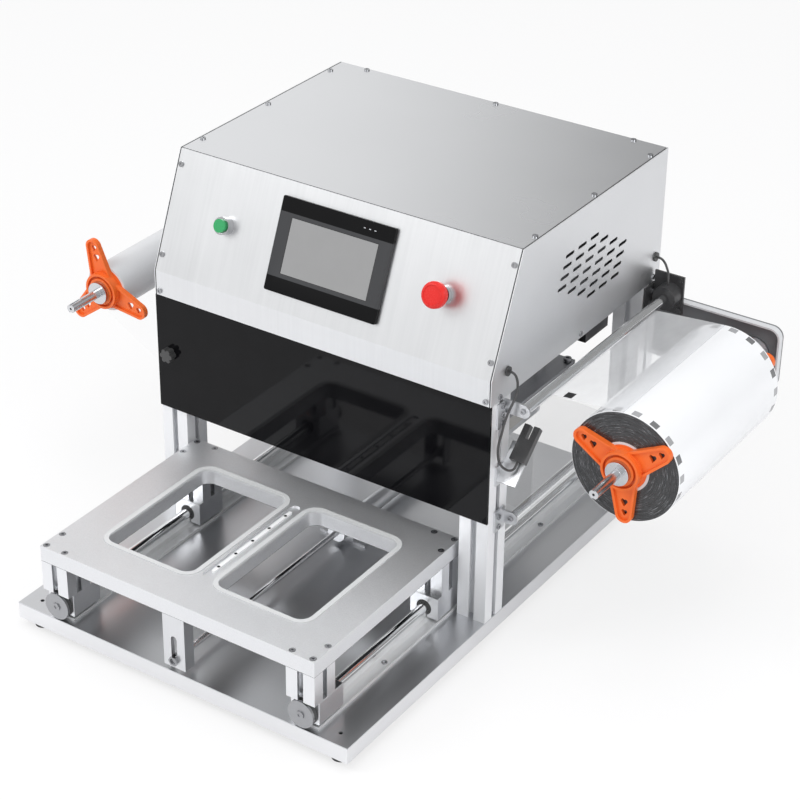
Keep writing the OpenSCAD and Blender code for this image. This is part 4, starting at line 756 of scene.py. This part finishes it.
class SEALER_OT_press(bpy.types.Operator):
    """Head plate, heater, moulds and rods of the press"""

    bl_idname = "sealer.press"
    bl_label = "Press head"

    def execute(self, context):
        paint(metal("polished_rod", (0.80, 0.80, 0.82), 0.10, (40, 40, 900), 0.03, 0.02, depth=0.004 * MM),
              "press_rod", "guide_rods")
        paint(metal("head_alloy", (0.22, 0.225, 0.24), 0.42, (420, 12, 420), 0.10), "head_plate")
        paint(moulded("pressed_board", (0.66, 0.60, 0.48), 0.62, 500, 0.08 * MM, 0.25), "insulation_board")
        paint(metal("heater_alloy", (0.40, 0.39, 0.37), 0.46, (12, 420, 420), 0.10, 0.12), "heater_block")
        paint(metal("mould_alloy", (0.50, 0.51, 0.53), 0.36, (420, 12, 420), 0.08), "seal_moulds")
        return {"FINISHED"}


# Film drive


class SEALER_OT_film_drive(bpy.types.Operator):
    """Spindles, chucks, cores, rollers, carriers, motor and sensors"""

    bl_idname = "sealer.film_drive"
    bl_label = "Film drive"

    def execute(self, context):
        chuck = moulded("chuck_orange", tint("chuck"), 0.34, 500, tone=0.08, specular_ior_level=0.35)
        shaft = metal("turned_shaft", (0.62, 0.63, 0.65), 0.22, (40, 800, 40), 0.08)
        for side in ("unwind", "rewind"):
            dressed(side + "_arms", side + "_chucks", side + "_roll", chuck, 0.7 * MM, 40.0)
        for side in ("unwind", "rewind"):
            dressed(side + "_shaft", side + "_spindle", side + "_roll", shaft, 0.4 * MM, 50.0)
        paint(moulded("core_tube", (0.66, 0.67, 0.69), 0.40, 300, tone=0.10), "unwind_core", "rewind_core")
        ground = metal("ground_roller", (0.86, 0.87, 0.88), 0.12, (6, 40, 6), 0.02, 0.02,
                       depth=0.0004 * MM)
        for side in ("upper", "right", "left"):
            roller = side + "_roller"
            dressed(side + "_tube", roller, roller, ground, 0.4 * MM, 50.0)
        paint(metal("plated_bracket", (0.66, 0.67, 0.69), 0.30, (500, 500, 500), 0.08), "side_brackets")
        paint(metal("turned_bearing", (0.62, 0.63, 0.65), 0.32, (500, 40, 500), 0.08), "shaft_bearings")
        paint(moulded("motor_black", (0.03, 0.03, 0.032), 0.36, 500), "rewind_motor")
        self.carriers()
        black = moulded("sensor_black", (0.016, 0.016, 0.018), 0.30, 700)
        dressed("film_eyes", "film_sensors", "machine_frame", black, 0.5 * MM, 50.0)
        return {"FINISHED"}

    def carriers(self):
        """Coated sheets with a paler front edge."""
        finish = moulded("carrier_coat", (0.30, 0.31, 0.33), 0.36, 700, 0.02 * MM, 0.10)
        edge = finish.axis("Y") < CARRIER_FACE
        finish.colour(finish.colours(edge, (0.17, 0.175, 0.185), (0.66, 0.67, 0.69)))
        paint(finish, "roll_carriers")


# Film


def tangent(a, b):
    """Angle of the normal of the outer tangent of two circles, each x, z and radius."""
    along = math.atan2(b[1] - a[1], b[0] - a[0])
    return along + math.acos((a[2] - b[2]) / math.hypot(b[0] - a[0], b[1] - a[1]))


def round_point(circle, angle):
    return Vector((circle[0] + circle[2] * math.cos(angle), 0, circle[1] + circle[2] * math.sin(angle)))


def arc(circle, start, end, count):
    return [round_point(circle, start + (end - start) * i / count) for i in range(count + 1)]


def between(a, b, step):
    """Points on the straight way from a to b, without its ends."""
    count = max(1, round((b - a).length / step))
    return [a.lerp(b, i / count) for i in range(1, count)]


class SEALER_OT_film(bpy.types.Operator):
    """The wound roll and the film web on its way under the press"""

    bl_idname = "sealer.film"
    bl_label = "Film"

    def execute(self, context):
        self.web("film_feed", self.feed_path(), 1, self.feed())
        self.web("film_waste", self.waste_path(), -1, self.waste())
        self.wound()
        return {"FINISHED"}

    def feed_path(self):
        """From the roll over the upper roller, down and round the right one, and in under the moulds."""
        roll = (ROLL_X, ROLL_Z, ROLL_R + FILM_GAP)
        up = (UP_X, UP_Z, TURN_R)
        leave = tangent(up, roll)
        over = arc(up, leave, math.pi, 12)
        turn = arc((LOW_X, LOW_Z, TURN_R), 0, -math.pi / 2, 10)
        fall = between(over[-1], turn[0], FALL_STEP)
        return [round_point(roll, leave)] + over + fall + turn + self.rise(turn[-1], 1)

    def waste_path(self):
        """From the middle out under the left roller, round it and up to the left core."""
        core = (-ROLL_X, ROLL_Z, CORE_R + FILM_GAP)
        left = (-LOW_X, LOW_Z, TURN_R)
        leave = tangent(left, core)
        turn = arc(left, -math.pi / 2, leave - math.tau, 6)
        end = round_point(core, leave)
        out = self.rise(turn[0], -1)[::-1]
        return out + turn + between(turn[-1], end, FALL_STEP) + [end]

    def rise(self, start, side):
        """From under a lower roller up to the middle of the machine, without its start."""
        foot = Vector((side * LIFT_FROM, 0, start.z))
        brow = Vector((side * LIFT_TO, 0, start.z + LIFT))
        middle = Vector((0, 0, brow.z))
        return (between(start, foot, RISE_STEP) + [foot] + between(foot, brow, RISE_STEP) + [brow]
                + between(brow, middle, FLAT_STEP) + [middle])

    def web(self, name, path, side, finish):
        """A strip of film along a path."""
        low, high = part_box("film_web")
        thing, bm = blank(name)
        rows = len(path) - 1
        bmesh.ops.create_grid(bm, x_segments=rows, y_segments=8, size=0.5)
        for vert in bm.verts:
            spot = path[round((vert.co.x + 0.5) * rows)]
            vert.co = (spot.x, low.y + (vert.co.y + 0.5) * (high.y - low.y), spot.z)
        finish_mesh(thing, bm, finish, smooth=60.0)
        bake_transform(thing)
        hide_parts("film_web")

    def feed(self):
        """Cloudy film with one dark register mark. It is clear on the upper roller, and on its fall shows
        only a faint painted sheen.
        """
        finish = Finish("film_feed", 0.12)
        cloud = finish.noise((12, 6, 12), 4.0, 0.6)
        x, y, z = (finish.axis(name) for name in "XYZ")
        mark = within(y, REGISTER_Y) * (z > REGISTER_Z) * within(x, REGISTER_X)
        white = finish.colours(cloud, (0.70, 0.71, 0.73), (0.86, 0.87, 0.89))
        finish.colour(finish.colours(mark, white, (0.01, 0.01, 0.011)))
        web = finish.ramp(x, (CLEAR_TO, 0.0), (SHOWS_FROM, 1.0))
        share = work("MAXIMUM", web, (z < UP_Z - TURN_R) * FALL_SHEEN)
        haze = (cloud * CLOUD_SHARE + settings().film_opacity) * share
        finish.feed("Alpha", work("MAXIMUM", haze, mark))
        return finish

    def waste(self):
        """Nearly clear film."""
        finish = Finish("film_waste", 0.10)
        finish.colour((0.85, 0.86, 0.88))
        finish.feed("Alpha", finish.noise((12, 6, 12), 3.0) * 0.06)
        return finish

    def wound(self):
        """The roll, with ridges on its ends where the layers don't line up."""
        low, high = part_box("film_roll")
        thing, bm = blank("wound_roll")
        draw = random.Random(7)
        count = settings().wound_layers
        radii = [CORE_R + (ROLL_R - CORE_R) * i / count for i in range(count + 1)]
        front = [Vector((ROLL_X + r, low.y + draw.uniform(0, 1) * RIDGE, ROLL_Z)) for r in radii]
        back = [Vector((ROLL_X + r, high.y - draw.uniform(0, 1) * RIDGE, ROLL_Z)) for r in reversed(radii)]
        spin(bm, front + back + front[:1], (ROLL_X, 0, ROLL_Z), (0, 1, 0), 96)
        finish_mesh(thing, bm, self.layers(low.y, high.y), "unwind_roll", 50.0, ("film_roll",))

    def layers(self, front, back):
        """White film with dark and grey marks near the roll's edges, and dark rings on its ends."""
        finish = Finish("wound_film", 0.22, coat_weight=0.3, coat_roughness=0.1)
        x = finish.axis("X") - ROLL_X
        z = finish.axis("Z") - ROLL_Z
        inset = (back - front) / 2 - abs(finish.axis("Y") - (front + back) / 2)
        radius = work("SQRT", x * x + z * z)
        angle = work("ARCTAN2", z, x)
        spot = finish.node("ShaderNodeCombineXYZ", {}, {"X": radius * RING_SCALE, "Y": angle * ROUND_SCALE})
        rings = finish.noise_at(spot, 3.0, 0.7)
        streaks = finish.ramp(rings, (0.36, (0.008, 0.008, 0.009)), (0.58, (0.03, 0.031, 0.034)),
                              (0.74, (0.34, 0.35, 0.37)))
        turn = angle * (MARKS_ROUND / math.tau)
        outside = radius > ROLL_R - MARKS_DEPTH
        marks = (work("FRACT", turn) < MARK_SHARE) * within(inset, MARKS_INSET) * outside * MARK_INK
        grey = finish.colours(work("FRACT", turn * 0.5) < 0.5, (0.09, 0.092, 0.096), (0.30, 0.305, 0.315))
        white = finish.colours(finish.noise((10, 5, 10), 3.0), (0.80, 0.81, 0.83), (0.90, 0.91, 0.93))
        end = (radius < ROLL_R - FACE_RIM) * (inset < FACE_DEPTH)
        finish.colour(finish.colours(end, finish.colours(marks, white, grey), streaks))
        finish.bump(rings * end, 0.4 * MM)
        return finish


STEPS = (SEALER_OT_stage, SEALER_OT_cables, SEALER_OT_base, SEALER_OT_structure, SEALER_OT_housing,
         SEALER_OT_panel_controls, SEALER_OT_drawer, SEALER_OT_press, SEALER_OT_film_drive, SEALER_OT_film)


class SEALER_PT_steps(bpy.types.Panel):
    """Lists the makers of the tray sealer's pieces"""

    bl_idname = "SEALER_PT_steps"
    bl_label = "Tray sealer"
    bl_space_type = "VIEW_3D"
    bl_region_type = "UI"
    bl_category = "Tray sealer"

    def draw(self, context):
        column = self.layout.column()
        for name in SealerSettings.__annotations__:
            column.prop(context.scene.sealer, name)
        for step in STEPS:
            column.operator(step.bl_idname)


CLASSES = (SealerSettings, *STEPS, SEALER_PT_steps)


def register():
    for kind in CLASSES:
        bpy.utils.register_class(kind)
    bpy.types.Scene.sealer = PointerProperty(type=SealerSettings)


def unregister():
    del bpy.types.Scene.sealer
    for kind in reversed(CLASSES):
        bpy.utils.unregister_class(kind)


def main():
    register()
    for step in STEPS:
        group, name = step.bl_idname.split(".")
        getattr(getattr(bpy.ops, group), name)()


if __name__ == "__main__":
    main()
